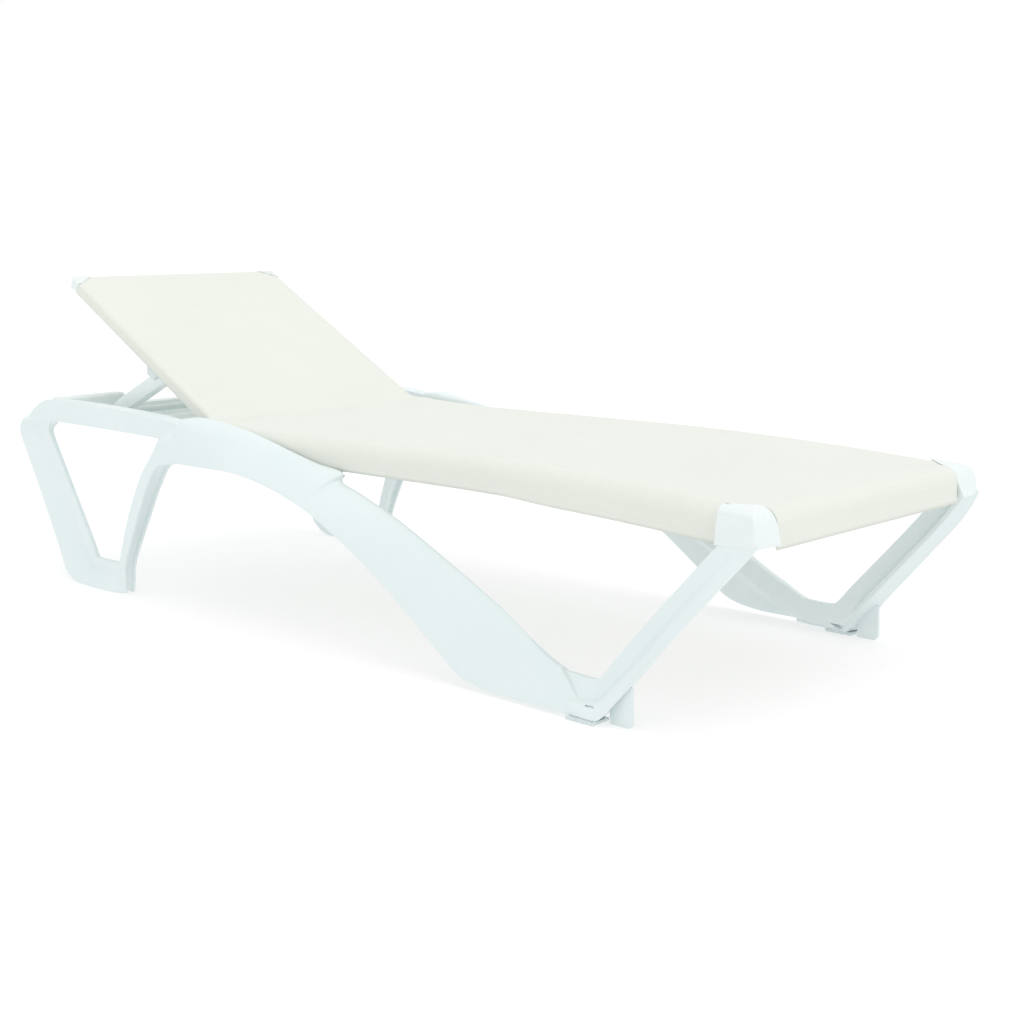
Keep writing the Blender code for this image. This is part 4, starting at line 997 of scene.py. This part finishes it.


# ------------ CAD nodes that stay
# The kept white resin pieces take the paler resin copy, which is painted light against their shade.
LOOKS = {"white_resin": RESIN_PAINTED_LIGHTER, "white_cap_resin": CAP_RESIN, "rail_resin": TUBE,
         "sling_fabric": SLING, "grey_rubber": PAD, "pin_steel": STEEL}
WELD_DISTANCE = 0.00002
EDGE_ROUND, EDGE_ANGLE = 0.0008, 40
for part in frame["record"]["subparts"]:
    node = frame["nodes"][part["node"]]
    if node.hide_render:
        continue
    node.data.materials.clear()
    node.data.materials.append(LOOKS[part["material_slot"]])
    weld = node.modifiers.new("weld", "WELD")
    weld.merge_threshold = WELD_DISTANCE
    bevel = node.modifiers.new("soft_edges", "BEVEL")
    bevel.width = EDGE_ROUND
    bevel.segments = 2
    bevel.limit_method = "ANGLE"
    bevel.angle_limit = math.radians(EDGE_ANGLE)
    bevel.harden_normals = True
    node.data.shade_smooth()


# ------------ stage, light and camera
def add_sun(name, towards, strength, softness):
    """A broad, far lamp; towards is the way from the object to it."""
    data = bpy.data.lights.new(name, "SUN")
    data.energy = strength
    data.angle = math.radians(softness)
    lamp = bpy.data.objects.new(name, data)
    lamp.rotation_euler = Vector(towards).to_track_quat("Z", "Y").to_euler()
    bpy.context.scene.collection.objects.link(lamp)


FLOOR_GREY = (0.45, 0.45, 0.45, 1.0), (0.46, 0.46, 0.46, 1.0)
FLOOR_GLOW = 0.56               # the floor is lit a little from below, like a light table
FLOOR_Z = -0.0005


def pale_stage():
    """A plain pale floor with even light from all round."""
    shape = bmesh.new()
    bmesh.ops.create_grid(shape, x_segments=1, y_segments=1, size=40.0)
    mesh = closed_mesh("studio_floor", shape)
    s = Shader("studio_floor_look", 0.9)
    place = s.add("ShaderNodeTexCoord").outputs["Object"]
    s.surface.inputs["Specular IOR Level"].default_value = 0.0
    mesh.materials.append(s.finish(s.mix(s.noise(place, 0.8), *FLOOR_GREY)))
    s.surface.inputs["Emission Color"].default_value = (1.0, 1.0, 1.0, 1.0)
    s.surface.inputs["Emission Strength"].default_value = FLOOR_GLOW
    floor = bpy.data.objects.new("studio_floor", mesh)
    floor.location.z = FLOOR_Z
    bpy.context.scene.collection.objects.link(floor)
    world = bpy.data.worlds.new("studio_world")
    world.use_nodes = True
    background = world.node_tree.nodes["Background"]
    background.inputs["Color"].default_value = (1.0, 1.0, 1.0, 1.0)
    background.inputs["Strength"].default_value = 1.0
    bpy.context.scene.world = world
    bpy.context.scene.view_settings.view_transform = "Standard"


AZIMUTH, ELEVATION, ROLL = 44.7926, 10.0907, -0.898
CAMERA_PLACE = (2.1072, -1.9297, 0.6896)
LENS = 53.85
SUN_TOWARDS, SUN_STRENGTH, SUN_SOFTNESS = (0.45, 0.05, 1.0), 0.55, 50.0


def set_camera():
    """The camera at the photograph's viewing angle, tilted by its small roll."""
    data = bpy.data.cameras.new("camera")
    data.lens = LENS
    data.sensor_width = 36.0
    data.clip_end = 100.0
    camera = bpy.data.objects.new("camera", data)
    azimuth, elevation = math.radians(AZIMUTH), math.radians(ELEVATION)
    back = Vector((math.sin(azimuth) * math.cos(elevation), -math.cos(azimuth) * math.cos(elevation),
                   math.sin(elevation)))
    level = (-back).cross(Vector((0.0, 0.0, 1.0))).normalized()
    up = level.cross(-back)
    turn = math.radians(ROLL)
    right = level * math.cos(turn) + up * math.sin(turn)
    over = up * math.cos(turn) - level * math.sin(turn)
    axes = Matrix((right, over, back)).transposed().to_4x4()
    camera.matrix_world = Matrix.Translation(CAMERA_PLACE) @ axes
    bpy.context.scene.collection.objects.link(camera)
    bpy.context.scene.camera = camera


pale_stage()
add_sun("overhead_sun", SUN_TOWARDS, SUN_STRENGTH, SUN_SOFTNESS)
set_camera()
